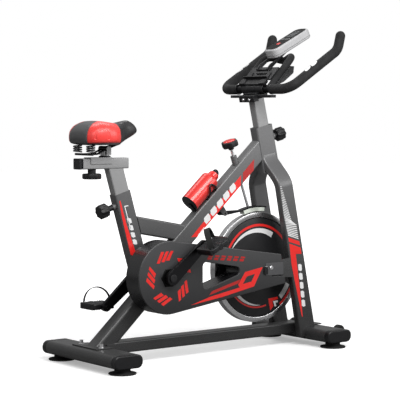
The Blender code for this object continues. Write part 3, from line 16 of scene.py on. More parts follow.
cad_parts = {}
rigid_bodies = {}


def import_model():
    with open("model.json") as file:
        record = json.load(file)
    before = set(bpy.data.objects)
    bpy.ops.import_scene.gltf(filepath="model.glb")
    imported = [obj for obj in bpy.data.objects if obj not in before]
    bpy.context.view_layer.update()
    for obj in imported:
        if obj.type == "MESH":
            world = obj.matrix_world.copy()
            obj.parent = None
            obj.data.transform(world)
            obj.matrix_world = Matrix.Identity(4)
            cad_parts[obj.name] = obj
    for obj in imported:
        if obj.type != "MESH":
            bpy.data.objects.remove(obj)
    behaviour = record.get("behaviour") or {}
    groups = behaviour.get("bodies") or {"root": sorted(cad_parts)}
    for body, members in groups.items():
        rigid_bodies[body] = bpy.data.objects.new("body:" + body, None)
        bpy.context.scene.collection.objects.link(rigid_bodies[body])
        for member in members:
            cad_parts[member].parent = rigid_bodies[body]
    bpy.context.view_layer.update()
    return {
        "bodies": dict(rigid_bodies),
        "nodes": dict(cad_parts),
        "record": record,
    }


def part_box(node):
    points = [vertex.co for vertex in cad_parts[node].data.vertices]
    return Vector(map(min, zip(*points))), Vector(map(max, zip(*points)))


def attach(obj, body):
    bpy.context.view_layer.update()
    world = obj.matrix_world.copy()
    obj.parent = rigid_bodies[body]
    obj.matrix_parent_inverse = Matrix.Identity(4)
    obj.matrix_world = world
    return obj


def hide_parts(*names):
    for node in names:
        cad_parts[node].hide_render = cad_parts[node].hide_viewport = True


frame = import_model()
nodes = frame["nodes"]
scene = bpy.context.scene


def middle(node):
    """The middle of a solid's box."""
    low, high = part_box(node)
    return (low + high) / 2


BODY_OF = {}
for body, empty in frame["bodies"].items():
    for child in empty.children:
        BODY_OF[child.name] = body
SLOT_OF = {part["node"]: part["material_slot"] for part in frame["record"]["subparts"]}

# %% [markdown]
# ## Places
#
# Most sizes below are taken from the frame's own solids, so the looks follow the bike.
# Flat graphics are drawn in side view, with x counted from the middle of the rear stabiliser.

# %% Places taken from the frame
REAR = middle("rear_stabilizer")
WHEEL = middle("flywheel_axle")
WHEEL.y = 0
CRANK = middle("crank_spindle")
CRANK.y = 0
COVER_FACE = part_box("cover_outer")[0].y
WHEEL_RADIUS = (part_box("flywheel")[1].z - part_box("flywheel")[0].z) / 2


def side_point(x, z):
    """Side-view place: x from the rear stabiliser's middle, z from the floor."""
    return (REAR.x + x, z)


def bike_point(x, y, z):
    """A place in the frame, with x from the rear stabiliser's middle."""
    return Vector((REAR.x + x, y, z))


def lean(tilt):
    """Unit vector that points up and leans back by an angle."""
    return Vector((-sin(tilt), 0, cos(tilt)))


def slope(angle):
    """Unit vector that points ahead and rises by an angle."""
    return Vector((cos(angle), 0, sin(angle)))


ACROSS = Vector((0, 1, 0))
MAIN_SLOPE = radians(41.8)
MAIN_ALONG = slope(MAIN_SLOPE)
MAIN_UP = lean(MAIN_SLOPE)
print("wheel at", tuple(round(v, 4) for v in WHEEL), "crank at", tuple(round(v, 4) for v in CRANK))

# %% [markdown]
# ## Shader maths
#
# A finish is easier to read as a sum than as a web of nodes. `Signal` wraps a socket, so that
# `1 - mask * 0.5` adds its own Math nodes, and `Finish.node` makes every other node.

# %% Nodes, and a socket that can be used in sums
def add_node(tree, kind, inputs, settings):
    """Adds a node: settings first, then the values or links of its sockets."""
    made = tree.nodes.new(kind)
    for key, value in settings.items():
        setattr(made, key, value)
    for key, value in (inputs or {}).items():
        value = getattr(value, "socket", value)
        if isinstance(value, bpy.types.NodeSocket):
            tree.links.new(value, made.inputs[key])
        else:
            made.inputs[key].default_value = value
    return made


class Signal:
    """One output socket of a finish; arithmetic on it adds Math nodes."""

    def __init__(self, finish, socket):
        self.finish = finish
        self.socket = socket

    def math(self, operation, other=0.0):
        return self.finish.node("ShaderNodeMath", {0: self, 1: other}, operation=operation)

    def __add__(self, other):
        return self.math("ADD", other)

    def __radd__(self, other):
        return self.math("ADD", other)

    def __mul__(self, other):
        return self.math("MULTIPLY", other)

    def __sub__(self, other):
        return self.math("SUBTRACT", other)

    def __rsub__(self, other):
        return self.finish.node("ShaderNodeMath", {0: other, 1: self}, operation="SUBTRACT")

    def absolute(self):
        return self.math("ABSOLUTE")

    def step(self, low, high):
        """A soft step from 0 to 1 between two values."""
        inputs = {0: self, 1: low, 2: high}
        return self.finish.node("ShaderNodeMapRange", inputs, interpolation_type="SMOOTHSTEP")


# %% A finish: one Principled shader and the nodes that feed it
class Finish:
    """A material with a single Principled shader."""

    def __init__(self, name, colour, roughness, metallic=0.0, **fixed):
        self.material = bpy.data.materials.new(name)
        self.material.use_nodes = True
        self.tree = self.material.node_tree
        self.shader = self.tree.nodes["Principled BSDF"]
        self.material.diffuse_color = (*colour, 1)
        self.set("Base Color", (*colour, 1))
        self.set("Roughness", roughness)
        self.set("Metallic", metallic)
        for socket, value in fixed.items():
            self.set(socket.replace("_", " "), value)

    def set(self, socket, value):
        """Feeds one socket of the shader with a number, a colour or a signal."""
        if isinstance(value, Signal):
            self.tree.links.new(value.socket, self.shader.inputs[socket])
        else:
            self.shader.inputs[socket].default_value = value

    def node(self, kind, inputs=None, output=0, **settings):
        """Adds a node and gives one of its outputs as a signal."""
        return Signal(self, add_node(self.tree, kind, inputs, settings).outputs[output])

    def place(self):
        """Object coordinates, which are the bike's own metres."""
        return self.node("ShaderNodeTexCoord", output="Object")

    def axis(self, vector, letter):
        """One of a vector's three numbers."""
        return self.node("ShaderNodeSeparateXYZ", {0: vector}, output="XYZ".index(letter))

    def noise(self, scale, detail=2.0, vector=None):
        inputs = {"Vector": vector or self.place(), "Scale": scale, "Detail": detail}
        return self.node("ShaderNodeTexNoise", inputs, output="Fac")

    def cells(self, scale):
        """Distance to the nearest of many scattered points: pores or grain."""
        inputs = {"Vector": self.place(), "Scale": scale}
        return self.node("ShaderNodeTexVoronoi", inputs, output="Distance")

    def mix(self, factor, first, second):
        """A blend of two colours."""
        inputs = {"Factor": factor}
        inputs[6] = first if isinstance(first, Signal) else (*first, 1)
        inputs[7] = second if isinstance(second, Signal) else (*second, 1)
        return self.node("ShaderNodeMix", inputs, output=2, data_type="RGBA")

    def bump(self, height, strength, distance):
        """Surface relief: distance is its depth in metres."""
        inputs = {"Height": height, "Strength": strength, "Distance": distance}
        self.set("Normal", self.node("ShaderNodeBump", inputs))


print("shader helpers ready")

# %% [markdown]
# ## Finishes
#
# The frame is powder coated in dark grey with a fine metallic flake, with painted shade that darkens it
# towards the floor. Plastic mouldings are satin with a spark-eroded grain, the flywheel's rim is turned
# bright, and the saddle is vinyl.

# %% Paint, plastic and rubber
def powder_coat(name, colour, flake, foot=1.0):
    """Grey metallic powder coat; foot is painted shade that darkens it towards the floor."""
    finish = Finish(name, colour, 0.40, 0.25, Coat_Weight=0.20, Coat_Roughness=0.25)
    specks = finish.noise(2600, 2.0).step(0.55, 0.75)
    drift = finish.noise(5.0, 3.0)
    pale = tuple(min(c * flake, 1) for c in colour)
    shaded_colour = tuple(c * foot for c in colour)
    # Painted shade: the colour is lighter high up and darker towards the floor, standing in for how the light
    # falls.
    height = finish.axis(finish.place(), "Z") + drift * 0.10 - 0.05
    base = finish.mix(height.step(0.10, 0.80), shaded_colour, colour)
    finish.set("Base Color", finish.mix(specks * 0.5, base, pale))
    finish.set("Roughness", 0.36 + finish.noise(40, 2.0) * 0.10)
    finish.bump(finish.noise(900, 2.0), 0.12, 0.0002)
    return finish.material


def rubbed(colour, gain):
    """The paler colour of a surface where it is worn."""
    return tuple(c * gain + 0.004 for c in colour)


def moulded(name, colour, roughness, grain=0.0003, size=1400, shine=0.35):
    """Plastic from a grained mould, with a few rubbed patches."""
    finish = Finish(name, colour, roughness, Specular_IOR_Level=shine)
    rub = finish.noise(18, 4.0).step(0.45, 0.8)
    finish.set("Base Color", finish.mix(rub * 0.35, colour, rubbed(colour, 1.4)))
    finish.set("Roughness", roughness - 0.08 + finish.noise(60, 3.0) * 0.16)
    finish.bump(finish.cells(size), 0.35, grain)
    return finish.material


def foam(name, colour):
    """Closed-cell grip foam: matt, with fine pores."""
    finish = Finish(name, colour, 0.72, Specular_IOR_Level=0.3, Sheen_Weight=0.04, Sheen_Roughness=0.5)
    pores = finish.cells(1500)
    blotch = finish.noise(30, 3.0).step(0.35, 0.7)
    finish.set("Base Color", finish.mix(blotch, colour, rubbed(colour, 1.6)))
    finish.bump(pores, 0.6, 0.0005)
    return finish.material


def metal(name, colour, roughness, brushed=0.0, direction="Z"):
    """Plated or turned steel; brushed stretches the scratches along one axis."""
    finish = Finish(name, colour, roughness, 1.0)
    fine, stretched = 500.0, 12.0
    scale = [fine, fine, fine]
    if brushed:
        scale["XYZ".index(direction)] = stretched
    where = finish.node("ShaderNodeMapping", {"Vector": finish.place(), "Scale": scale})
    scratch = finish.noise(1.0, 3.0, vector=where)
    smear = finish.noise(12, 3.0)
    finish.set("Roughness", roughness + scratch * 0.12 + smear * 0.08 - 0.08)
    finish.bump(scratch, 0.10 + brushed, 0.0001)
    return finish.material


def sticker_film(name, colour, roughness=0.30):
    """Printed vinyl film with a faint print grain and a clear coat."""
    finish = Finish(name, colour, roughness, 0.0, Coat_Weight=0.4, Coat_Roughness=0.15)
    tone = finish.noise(25, 2.0).step(0.3, 0.75)
    finish.set("Base Color", finish.mix(tone * 0.5, colour, tuple(c * 0.8 for c in colour)))
    finish.bump(finish.noise(500, 2.0), 0.08, 0.0001)
    return finish.material


RED = (0.80, 0.022, 0.018)
DEEP_RED = (0.45, 0.014, 0.012)
# Painted shade: the frame's paint falls to 0.22 of its colour at the floor.
paint = powder_coat("frame_powder_coat", (0.130, 0.130, 0.132), 2.0, 0.22)
post_paint = powder_coat("post_powder_coat", (0.27, 0.27, 0.272), 1.5)
black_plastic = moulded("black_moulding", (0.008, 0.008, 0.009), 0.40)
glossy_plastic = moulded("black_gloss", (0.003, 0.003, 0.003), 0.34, 0.0001, 2600, 0.08)
tread_plastic = moulded("pedal_tread", (0.030, 0.030, 0.032), 0.35, 0.0002, 1800)
recess_plastic = moulded("cover_recess", (0.070, 0.070, 0.073), 0.40, 0.0002, 1800)
silver_plastic = moulded("silver_moulding", (0.40, 0.40, 0.405), 0.42, 0.0002, 2200)
pale_print = moulded("pale_print", (0.42, 0.42, 0.43), 0.5, 0.0001, 2600)
rubber = moulded("black_rubber", (0.010, 0.010, 0.010), 0.75, 0.0004, 700)
grip = foam("grip_foam", (0.0065, 0.0065, 0.007))
chrome = metal("bright_plate", (0.86, 0.86, 0.87), 0.28)
turned_rim = metal("turned_rim", (0.72, 0.72, 0.73), 0.22, 0.3, "Y")
black_metal = metal("black_plate", (0.030, 0.030, 0.032), 0.32)
red_film = sticker_film("red_film", RED)
deep_red_film = sticker_film("deep_red_film", DEEP_RED)
white_film = sticker_film("white_film", (0.80, 0.80, 0.80))
spring_steel = metal("spring_steel", (0.16, 0.16, 0.165), 0.22)
red_alloy = metal("red_anodised", (0.72, 0.03, 0.03), 0.28, 0.25, "X")
felt = foam("brake_felt", (0.42, 0.45, 0.40))


def shaded_cover_finish():
    """Charcoal face with painted shade, lighter at the top and darker towards the bottom, and a darker,
    glossier wall behind it.
    """
    finish = Finish("belt_cover", (0.036, 0.036, 0.038), 0.36, Coat_Weight=0.12, Coat_Roughness=0.2)
    behind_edge = (COVER_FACE + 0.004, COVER_FACE + 0.007)
    depth = finish.axis(finish.place(), "Y").step(*behind_edge)
    # Painted shade: the face runs from dark low down to lighter at the top, standing in for how the light
    # falls.
    height = finish.axis(finish.place(), "Z").step(0.14, 0.42)
    face = finish.mix(height, (0.011, 0.011, 0.012), (0.052, 0.052, 0.054))
    finish.set("Base Color", finish.mix(depth, face, (0.008, 0.008, 0.009)))
    finish.set("Roughness", 0.34 - depth * 0.12 + finish.noise(60, 3.0) * 0.08)
    finish.bump(finish.cells(1800), 0.3, 0.0002)
    return finish.material


cover_plastic = shaded_cover_finish()
FINISH_OF = {
    "frame_paint": paint, "black_plastic": black_plastic, "cover_plastic": cover_plastic,
    "black_rubber": rubber, "grip_foam": grip, "flywheel_iron": turned_rim, "bright_steel": chrome,
    "black_steel": black_metal, "red_anodised": red_alloy, "saddle_vinyl": black_plastic,
    "console_shell": silver_plastic, "console_button": red_film, "brake_felt": felt,
}
print("finishes:", len(bpy.data.materials))

# %% [markdown]
# ## Finishing the welded frame
#
# The frame's solids arrive as loose, flat triangles. A copy of each is merged, its coplanar
# triangles dissolved, and its edges given the small radius that bent and ground steel has.
# Weighted normals keep the flats flat and let only the corners roll.

# %% Turn a solid into a finished piece
def new_object(name, data):
    """An object in the scene that holds a mesh, a curve, a light or a camera."""
    obj = bpy.data.objects.new(name, data)
    scene.collection.objects.link(obj)
    return obj


def object_from(bm, name):
    """Turns a bmesh into an object and frees it."""
    mesh = bpy.data.meshes.new(name)
    bm.to_mesh(mesh)
    bm.free()
    return new_object(name, mesh)


def evaluated_mesh(obj):
    """A new mesh with an object's modifiers applied."""
    return bpy.data.meshes.new_from_object(obj.evaluated_get(bpy.context.evaluated_depsgraph_get()))


def settle(obj, body, material=None, stands_for=()):
    """Bakes an object's modifiers and place into its mesh and hands it to a body."""
    bpy.context.view_layer.update()
    mesh = evaluated_mesh(obj)
    mesh.transform(obj.matrix_world)
    name = obj.name
    bpy.data.objects.remove(obj)
    made = new_object(name, mesh)
    mesh.name = name
    if material:
        mesh.materials.clear()
        mesh.materials.append(material)
    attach(made, body)
    if stands_for:
        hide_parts(*stands_for)
    return made


def merged_copy(node):
    """A bmesh of a solid with its doubles merged and its flats in one face each."""
    bm = bmesh.new()
    bm.from_mesh(nodes[node].data)
    bmesh.ops.remove_doubles(bm, verts=bm.verts, dist=1e-5)
    bmesh.ops.dissolve_limit(bm, angle_limit=radians(0.6), verts=bm.verts, edges=bm.edges)
    return bm


def smooth_by_angle(mesh, degrees):
    """Smooth shading, except across edges sharper than an angle."""
    mesh.shade_smooth()
    mesh.set_sharp_from_angle(angle=radians(degrees))


FINE_EDGE = 0.0008
SHARP_ANGLE = 50
SIDES = (("right", -1), ("left", 1))


def round_edges(obj, width, segments, limit):
    """Rounds the edges sharper than a limit in degrees, and keeps the flats flat."""
    bevel = obj.modifiers.new("edge", "BEVEL")
    bevel.width = width
    bevel.segments = segments
    bevel.limit_method = "ANGLE"
    bevel.angle_limit = radians(limit)
    bevel.use_clamp_overlap = True
    smooth_by_angle(obj.data, SHARP_ANGLE)
    obj.modifiers.new("flats", "WEIGHTED_NORMAL").keep_sharp = True


def dress(node, material, edge=FINE_EDGE, segments=2, round_face=None):
    """The finished stand-in for one solid, with rounded edges.

    round_face is (y, radius): the edges of the face at that depth get the larger radius first.
    """
    bm = merged_copy(node)
    if round_face:
        depth, radius = round_face
        rim = []
        for line in bm.edges:
            on_face = all(abs(v.co.y - depth) < 1e-4 for v in line.verts)
            if on_face and len(line.link_faces) == 2 and line.calc_face_angle(0) > radians(60):
                rim.append(line)
        bmesh.ops.bevel(bm, geom=rim, offset=radius, segments=4, profile=0.5, affect="EDGES",
                        clamp_overlap=True)
    mesh = bpy.data.meshes.new(node)
    bm.to_mesh(mesh)
    bm.free()
    obj = new_object(f"{node}_finished", mesh)
    round_edges(obj, edge, segments, SHARP_ANGLE)
    return settle(obj, BODY_OF[node], material, (node,))


CUSTOM = {
    "flywheel", "saddle", "saddle_spring_left", "saddle_spring_right", "handlebar", "console", "bottle",
    "bottle_cage", "pedal_left", "pedal_right",
}
SPECIAL_FINISH = {"seat_post": post_paint, "handlebar_post": post_paint, "saddle_slider": post_paint,
                  "brake_arm": black_metal, "saddle_frame": black_metal, "crank_spindle": black_metal}
SOFT_EDGE = {
    "crank_arm_left": 0.003, "crank_arm_right": 0.003, "handlebar_clamp": 0.0015,
    "front_cap_left": 0.003, "front_cap_right": 0.003, "rear_cap_left": 0.003, "rear_cap_right": 0.003,
}
for node in nodes:
    if node in CUSTOM:
        continue
    material = SPECIAL_FINISH.get(node, FINISH_OF[SLOT_OF[node]])
    face = (COVER_FACE, 0.005) if node == "cover_outer" else None
    dress(node, material, SOFT_EDGE.get(node, FINE_EDGE), 3 if node in SOFT_EDGE else 2, round_face=face)
print("finished pieces:", len(nodes) - len(CUSTOM))

# %% [markdown]
# ## The flywheel
#
# A flywheel is turned on a lathe, so it is one half-section spun about its axle. The rim is
# left bright. A black plate covers the web on each side and carries the printed rings.

# %% Spin a half-section
def facing(direction):
    """The turn that takes +Z to a direction."""
    return Vector(direction).to_track_quat("Z", "Y").to_matrix().to_4x4()


def turned_piece(name, profile, steps, centre, closed=True, axis=(0, 1, 0)):
    """Spins (radius, height) points about an axis through a centre."""
    bm = bmesh.new()
    verts = [bm.verts.new((r, 0, h)) for r, h in profile]
    pairs = list(zip(verts, verts[1:]))
    if closed:
        pairs.append((verts[-1], verts[0]))
    edges = [bm.edges.new(pair) for pair in pairs]
    bmesh.ops.spin(bm, geom=verts + edges, axis=(0, 0, 1), cent=(0, 0, 0), steps=steps, angle=2 * pi,
                   use_merge=True)
    bmesh.ops.remove_doubles(bm, verts=bm.verts, dist=1e-6)
    bmesh.ops.recalc_face_normals(bm, faces=bm.faces)
    obj = object_from(bm, name)
    smooth_by_angle(obj.data, 32)
    obj.matrix_world = Matrix.Translation(centre) @ facing(axis)
    return obj


def rounded_profile(corners, radius, steps=3):
    """A closed half-section with each corner rounded."""
    points = []
    count = len(corners)
    for i, corner in enumerate(corners):
        here = Vector(corner)
        back = Vector(corners[i - 1]) - here
        ahead = Vector(corners[(i + 1) % count]) - here
        run = min(radius, 0.45 * back.length, 0.45 * ahead.length)
        first = here + back.normalized() * run
        last = here + ahead.normalized() * run
        for k in range(steps + 1):
            t = k / steps
            points.append(first * (1 - t) ** 2 + here * 2 * t * (1 - t) + last * t ** 2)
    return points


# %% Flywheel rim, web and cover plates
RIM_HALF = 0.014
RIM_DEPTH = 0.020
WEB_HALF = 0.004
HUB_RADIUS = 0.024
HUB_RIGHT, HUB_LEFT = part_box("flywheel")[0].y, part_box("flywheel")[1].y
AXLE_HOLE = 0.0063
PLATE_FACE = RIM_HALF - 0.0015
inside = WHEEL_RADIUS - RIM_DEPTH
section = [
    (AXLE_HOLE, HUB_RIGHT), (HUB_RADIUS, HUB_RIGHT), (HUB_RADIUS, -WEB_HALF), (inside, -WEB_HALF),
    (inside + 0.002, -RIM_HALF), (WHEEL_RADIUS, -RIM_HALF), (WHEEL_RADIUS, RIM_HALF),
    (inside + 0.002, RIM_HALF), (inside, WEB_HALF), (HUB_RADIUS, WEB_HALF), (HUB_RADIUS, HUB_LEFT),
    (AXLE_HOLE, HUB_LEFT),
]
wheel = turned_piece("flywheel_casting", rounded_profile(section, 0.0016), 144, WHEEL)
settle(wheel, "flywheel", turned_rim, ("flywheel",))
plate_material = moulded("black_disc", (0.016, 0.016, 0.017), 0.32, 0.0001, 2200)
for side, sign in SIDES:
    low = sign * (WEB_HALF + 0.0005)
    high = sign * PLATE_FACE
    bore, edge = HUB_RADIUS + 0.001, inside - 0.001
    plate = [(bore, low), (edge, low), (edge, high), (bore, high)]
    disc = turned_piece(f"disc_plate_{side}", rounded_profile(plate, 0.0012), 120, WHEEL)
    settle(disc, "flywheel", plate_material)
print("flywheel radius", round(WHEEL_RADIUS, 3))

# %% [markdown]
# ## Flat graphics
#
# The stripes are cut vinyl. Each is a filled outline a few tenths of a millimetre thick, laid
# on its panel, with the holes cut out, so its edge stays sharp at any distance.

# %% Cut a flat shape and lay it on a panel
FILM = 0.0003


def arc_points(centre, radius, start, end, steps):
    """Points along an arc, angles in degrees."""
    points = []
    for i in range(steps + 1):
        angle = radians(start + (end - start) * i / steps)
        points.append((centre[0] + radius * cos(angle), centre[1] + radius * sin(angle)))
    return points


def side_plane(y):
    """The upright plane at a depth y, drawn as (x, z)."""
    return Matrix.Translation((0, y, 0)) @ Matrix.Rotation(pi / 2, 4, "X")


def film(name, outlines, plane, body, material):
    """Outlines cut from film and laid on a plane; inner outlines are holes."""
    curve = bpy.data.curves.new(name, "CURVE")
    curve.dimensions = "2D"
    curve.fill_mode = "BOTH"
    curve.extrude = FILM / 2
    for outline in outlines:
        spline = curve.splines.new("POLY")
        spline.points.add(len(outline) - 1)
        for point, (x, z) in zip(spline.points, outline):
            point.co = (x, z, 0, 1)
        spline.use_cyclic_u = True
    obj = new_object(name, curve)
    obj.matrix_world = plane
    bpy.context.view_layer.update()
    mesh = evaluated_mesh(obj)
    mesh.transform(obj.matrix_world)
    bpy.data.objects.remove(obj)
    bm = bmesh.new()
    bm.from_mesh(mesh)
    bmesh.ops.remove_doubles(bm, verts=bm.verts, dist=1e-6)
    bmesh.ops.recalc_face_normals(bm, faces=bm.faces)
    bm.to_mesh(mesh)
    bm.free()
    made = new_object(name, mesh)
    mesh.materials.append(material)
    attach(made, body)
    return made


def side_shape(points):
    return [side_point(x, z) for x, z in points]


# %% Stripes on the belt cover
def turned_about(centre, points, angle):
    """Side-view points turned about a centre."""
    turned = []
    for x, z in points:
        dx, dz = x - centre[0], z - centre[1]
        turned.append((centre[0] + dx * cos(angle) - dz * sin(angle),
                       centre[1] + dx * sin(angle) + dz * cos(angle)))
    return turned


FILM_PLANE = side_plane(COVER_FACE - FILM / 2)
crank_xz = (CRANK.x, CRANK.z)
FIRST_BAR = side_shape([(0.1854, 0.3460), (0.1973, 0.3453), (0.2164, 0.3839), (0.2037, 0.3846)])
LAST_BAR = side_shape([(0.2228, 0.3541), (0.2377, 0.3532), (0.2549, 0.3851), (0.2442, 0.3858)])
BAR_GROUPS = 5
bars = []
for k in range(BAR_GROUPS):
    for share in (0, 0.5, 1):
        corners = [tuple(Vector(p).lerp(Vector(q), share)) for p, q in zip(FIRST_BAR, LAST_BAR)]
        bars.append(turned_about(crank_xz, corners, radians(360 / BAR_GROUPS * k)))
film("cover_bars", bars, FILM_PLANE, "frame", red_film)
wedge = side_shape([(0.3292, 0.1940), (0.4101, 0.2165), (0.5435, 0.2400), (0.5366, 0.2505), (0.5680, 0.2930),
                    (0.6479, 0.3059), (0.6083, 0.2395), (0.4661, 0.2125)])
diamond = side_shape([(0.5573, 0.2511), (0.5757, 0.2769), (0.6130, 0.2840), (0.5966, 0.2574)])
film("cover_wedge", [wedge, diamond], FILM_PLANE, "frame", red_film)
bar = side_shape([(0.4078, 0.2225), (0.4212, 0.2360), (0.5480, 0.2690), (0.5366, 0.2545)])
film("cover_lower_bar", [bar], FILM_PLANE, "frame", deep_red_film)
ticks = []
for k in range(6):
    x = 0.399 + 0.0285 * k
    z = 0.3560 - 0.0028 * k
    upper = [(x + 0.006, z + 0.001), (x + 0.024, z - 0.001), (x + 0.026, z + 0.005), (x + 0.008, z + 0.007)]
    lower = [(x, z - 0.009), (x + 0.018, z - 0.011), (x + 0.022, z - 0.003), (x + 0.004, z - 0.001)]
    ticks += [side_shape(upper), side_shape(lower)]
film("cover_ticks", ticks, FILM_PLANE, "frame", deep_red_film)

# %% Rings on the flywheel's plates
wheel_xz = (WHEEL.x, WHEEL.z)
RED_DART = ((0.128, -68), (0.147, -51), (0.156, -52), (0.146, -62), (0.166, -64), (0.172, -70))
WHITE_DART = ((0.148, -61), (0.159, -53.5), (0.165, -55), (0.160, -58.5), (0.172, -59.5), (0.170, -62))


def on_wheel(radius, degrees):
    """A side-view place by its distance and angle from the axle."""
    return (WHEEL.x + radius * cos(radians(degrees)), WHEEL.z + radius * sin(radians(degrees)))


def crescent(outer, inner, start, end, taper):
    """A band that tapers to nothing at its start."""
    steps = 40
    points = arc_points(wheel_xz, outer, start, end, steps)
    for i in range(steps + 1):
        t = 1 - i / steps
        points.append(on_wheel(outer - (outer - inner) * t ** taper, start + (end - start) * t))
    return points


def band(inner, outer, start, end):
    """A band of even width, angles in degrees."""
    steps = 48
    return arc_points(wheel_xz, outer, start, end, steps) + arc_points(wheel_xz, inner, end, start, steps)


for side, sign in SIDES:
    plane = side_plane(sign * (PLATE_FACE + FILM / 2))
    reds = [band(0.149, 0.158, 40, 150), band(0.143, 0.149, 215, 285), band(0.172, 0.181, 306, 338)]
    reds.append([on_wheel(*place) for place in RED_DART])
    film(f"disc_red_{side}", reds, plane, "flywheel", red_film)
    whites = [crescent(0.142, 0.122, 150, 60, 0.6), crescent(0.140, 0.126, 275, 215, 0.7),
              band(0.147, 0.166, 312, 334)]
    whites.append([on_wheel(*place) for place in WHITE_DART])
    film(f"disc_white_{side}", whites, plane, "flywheel", white_film)

# %% Stripes on the tubes
MAIN_HALF = 0.021
SEAT_HALF = 0.020
FORK_FACE = 0.090
MAIN_LOW = -0.0372
HALF_LEFT = [(0.7528, 0.5899), (0.7701, 0.4878), (0.7925, 0.4076)]
HALF_RIGHT = [(0.7591, 0.5897), (0.8084, 0.4600), (0.8307, 0.4463), (0.8421, 0.3911)]


def at_share(points, share):
    """The place a share of the way along a polyline."""
    lengths = [hypot(q[0] - p[0], q[1] - p[1]) for p, q in zip(points, points[1:])]
    left = share * sum(lengths)
    for p, q, length in zip(points, points[1:], lengths):
        if left <= length or q is points[-1]:
            t = min(left / length, 1)
            return (p[0] + (q[0] - p[0]) * t, p[1] + (q[1] - p[1]) * t)
        left -= length


def halftone_rows(rows):
    """Thin bars that widen and thicken down a wedge."""
    made = []
    for k in range(rows):
        share = (k + 0.5) / rows
        left, right = at_share(HALF_LEFT, share), at_share(HALF_RIGHT, share)
        half = 0.0010 + 0.0009 * share
        made.append(side_shape([(left[0], left[1] - half), (right[0], right[1] - half),
                                (right[0], right[1] + half), (left[0], left[1] + half)]))
    return made


def on_main_tube(points):
    """Side-view corners with any that would hang below the main tube's face lifted onto it."""
    lifted = []
    for x, z in side_shape(points):
        short = MAIN_LOW - ((x - CRANK.x) * MAIN_UP.x + (z - CRANK.z) * MAIN_UP.z)
        lifted.append((x + MAIN_UP.x * max(short, 0), z + MAIN_UP.z * max(short, 0)))
    return lifted


def slanted_blocks(count, start, step, across, along):
    """A row of slanted blocks, each with a notch cut from one side."""
    made = []
    a, b = Vector(along), Vector(across)
    for k in range(count):
        origin = Vector(start) + Vector(step) * k
        corners = (origin, origin + a * 0.78, origin + a + b * 0.45,
                   origin + a + b, origin + a * 0.22 + b, origin + b * 0.55)
        made.append(side_shape([tuple(corner) for corner in corners]))
    return made


for side, sign in SIDES:
    plane = side_plane(sign * (MAIN_HALF + FILM / 2))
    above = side_plane(sign * (MAIN_HALF + FILM * 1.5))
    panel = on_main_tube([(0.4051, 0.4174), (0.6285, 0.6295), (0.6290, 0.5905), (0.5000, 0.4700),
                          (0.4384, 0.4104)])
    film(f"main_stripe_{side}", [panel], plane, "frame", red_film)
    tip = on_main_tube([(0.6370, 0.6376), (0.6893, 0.6855), (0.6923, 0.6395), (0.6400, 0.5975)])
    film(f"main_tip_{side}", [tip], plane, "frame", deep_red_film)
    blocks = slanted_blocks(5, (0.4720, 0.4600), (0.0285, 0.0262), (-0.0165, 0.0170), (0.0240, 0.0215))
    film(f"main_blocks_{side}", blocks, above, "frame", white_film)
    dash = side_shape([(0.4340, 0.4240), (0.4360, 0.4215), (0.4640, 0.4480), (0.4620, 0.4505)])
    film(f"main_dash_{side}", [dash], above, "frame", white_film)
    plane = side_plane(sign * (SEAT_HALF + FILM / 2))
    stripe = side_shape([(0.1023, 0.5550), (0.1067, 0.5567), (0.1320, 0.4729), (0.1660, 0.3860),
                         (0.1700, 0.3720), (0.1573, 0.3672), (0.1484, 0.3695), (0.1132, 0.4977)])
    film(f"seat_stripe_{side}", [stripe], plane, "frame", red_film)
    blocks = slanted_blocks(4, (0.1330, 0.4950), (0.0075, -0.0245), (0.0150, 0.0030), (0.0055, -0.0185))
    film(f"seat_blocks_{side}", blocks, plane, "frame", white_film)
    line = side_shape([(0.1222, 0.5377), (0.1390, 0.5400), (0.1400, 0.5370), (0.1262, 0.5350),
                       (0.1490, 0.4600), (0.1460, 0.4590)])
    film(f"seat_line_{side}", [line], plane, "frame", white_film)
    plane = side_plane(sign * (FORK_FACE + FILM / 2))
    reds = [side_shape([(0.7925, 0.4011), (0.8452, 0.3850), (0.8495, 0.3700), (0.7960, 0.3855)]),
            side_shape([(0.7981, 0.3790), (0.8517, 0.3615), (0.8562, 0.3384), (0.8290, 0.3400),
                        (0.8639, 0.1074), (0.8590, 0.1090), (0.8091, 0.3011)])]
    film(f"fork_red_{side}", reds, plane, "frame", red_film)
    film(f"fork_halftone_{side}", halftone_rows(30), plane, "frame", white_film)
    blocks = slanted_blocks(5, (0.8400, 0.3000), (0.0042, -0.0330), (0.0160, 0.0040), (0.0030, -0.0260))
    film(f"fork_blocks_{side}", blocks, plane, "frame", white_film)
print("stickers cut")

# %% [markdown]
# ## Repeated things
#
# Springs, bolts and tread studs are grown by Geometry Nodes. Each tree has named inputs, and
# the result is baked into a plain mesh before it joins the bike.

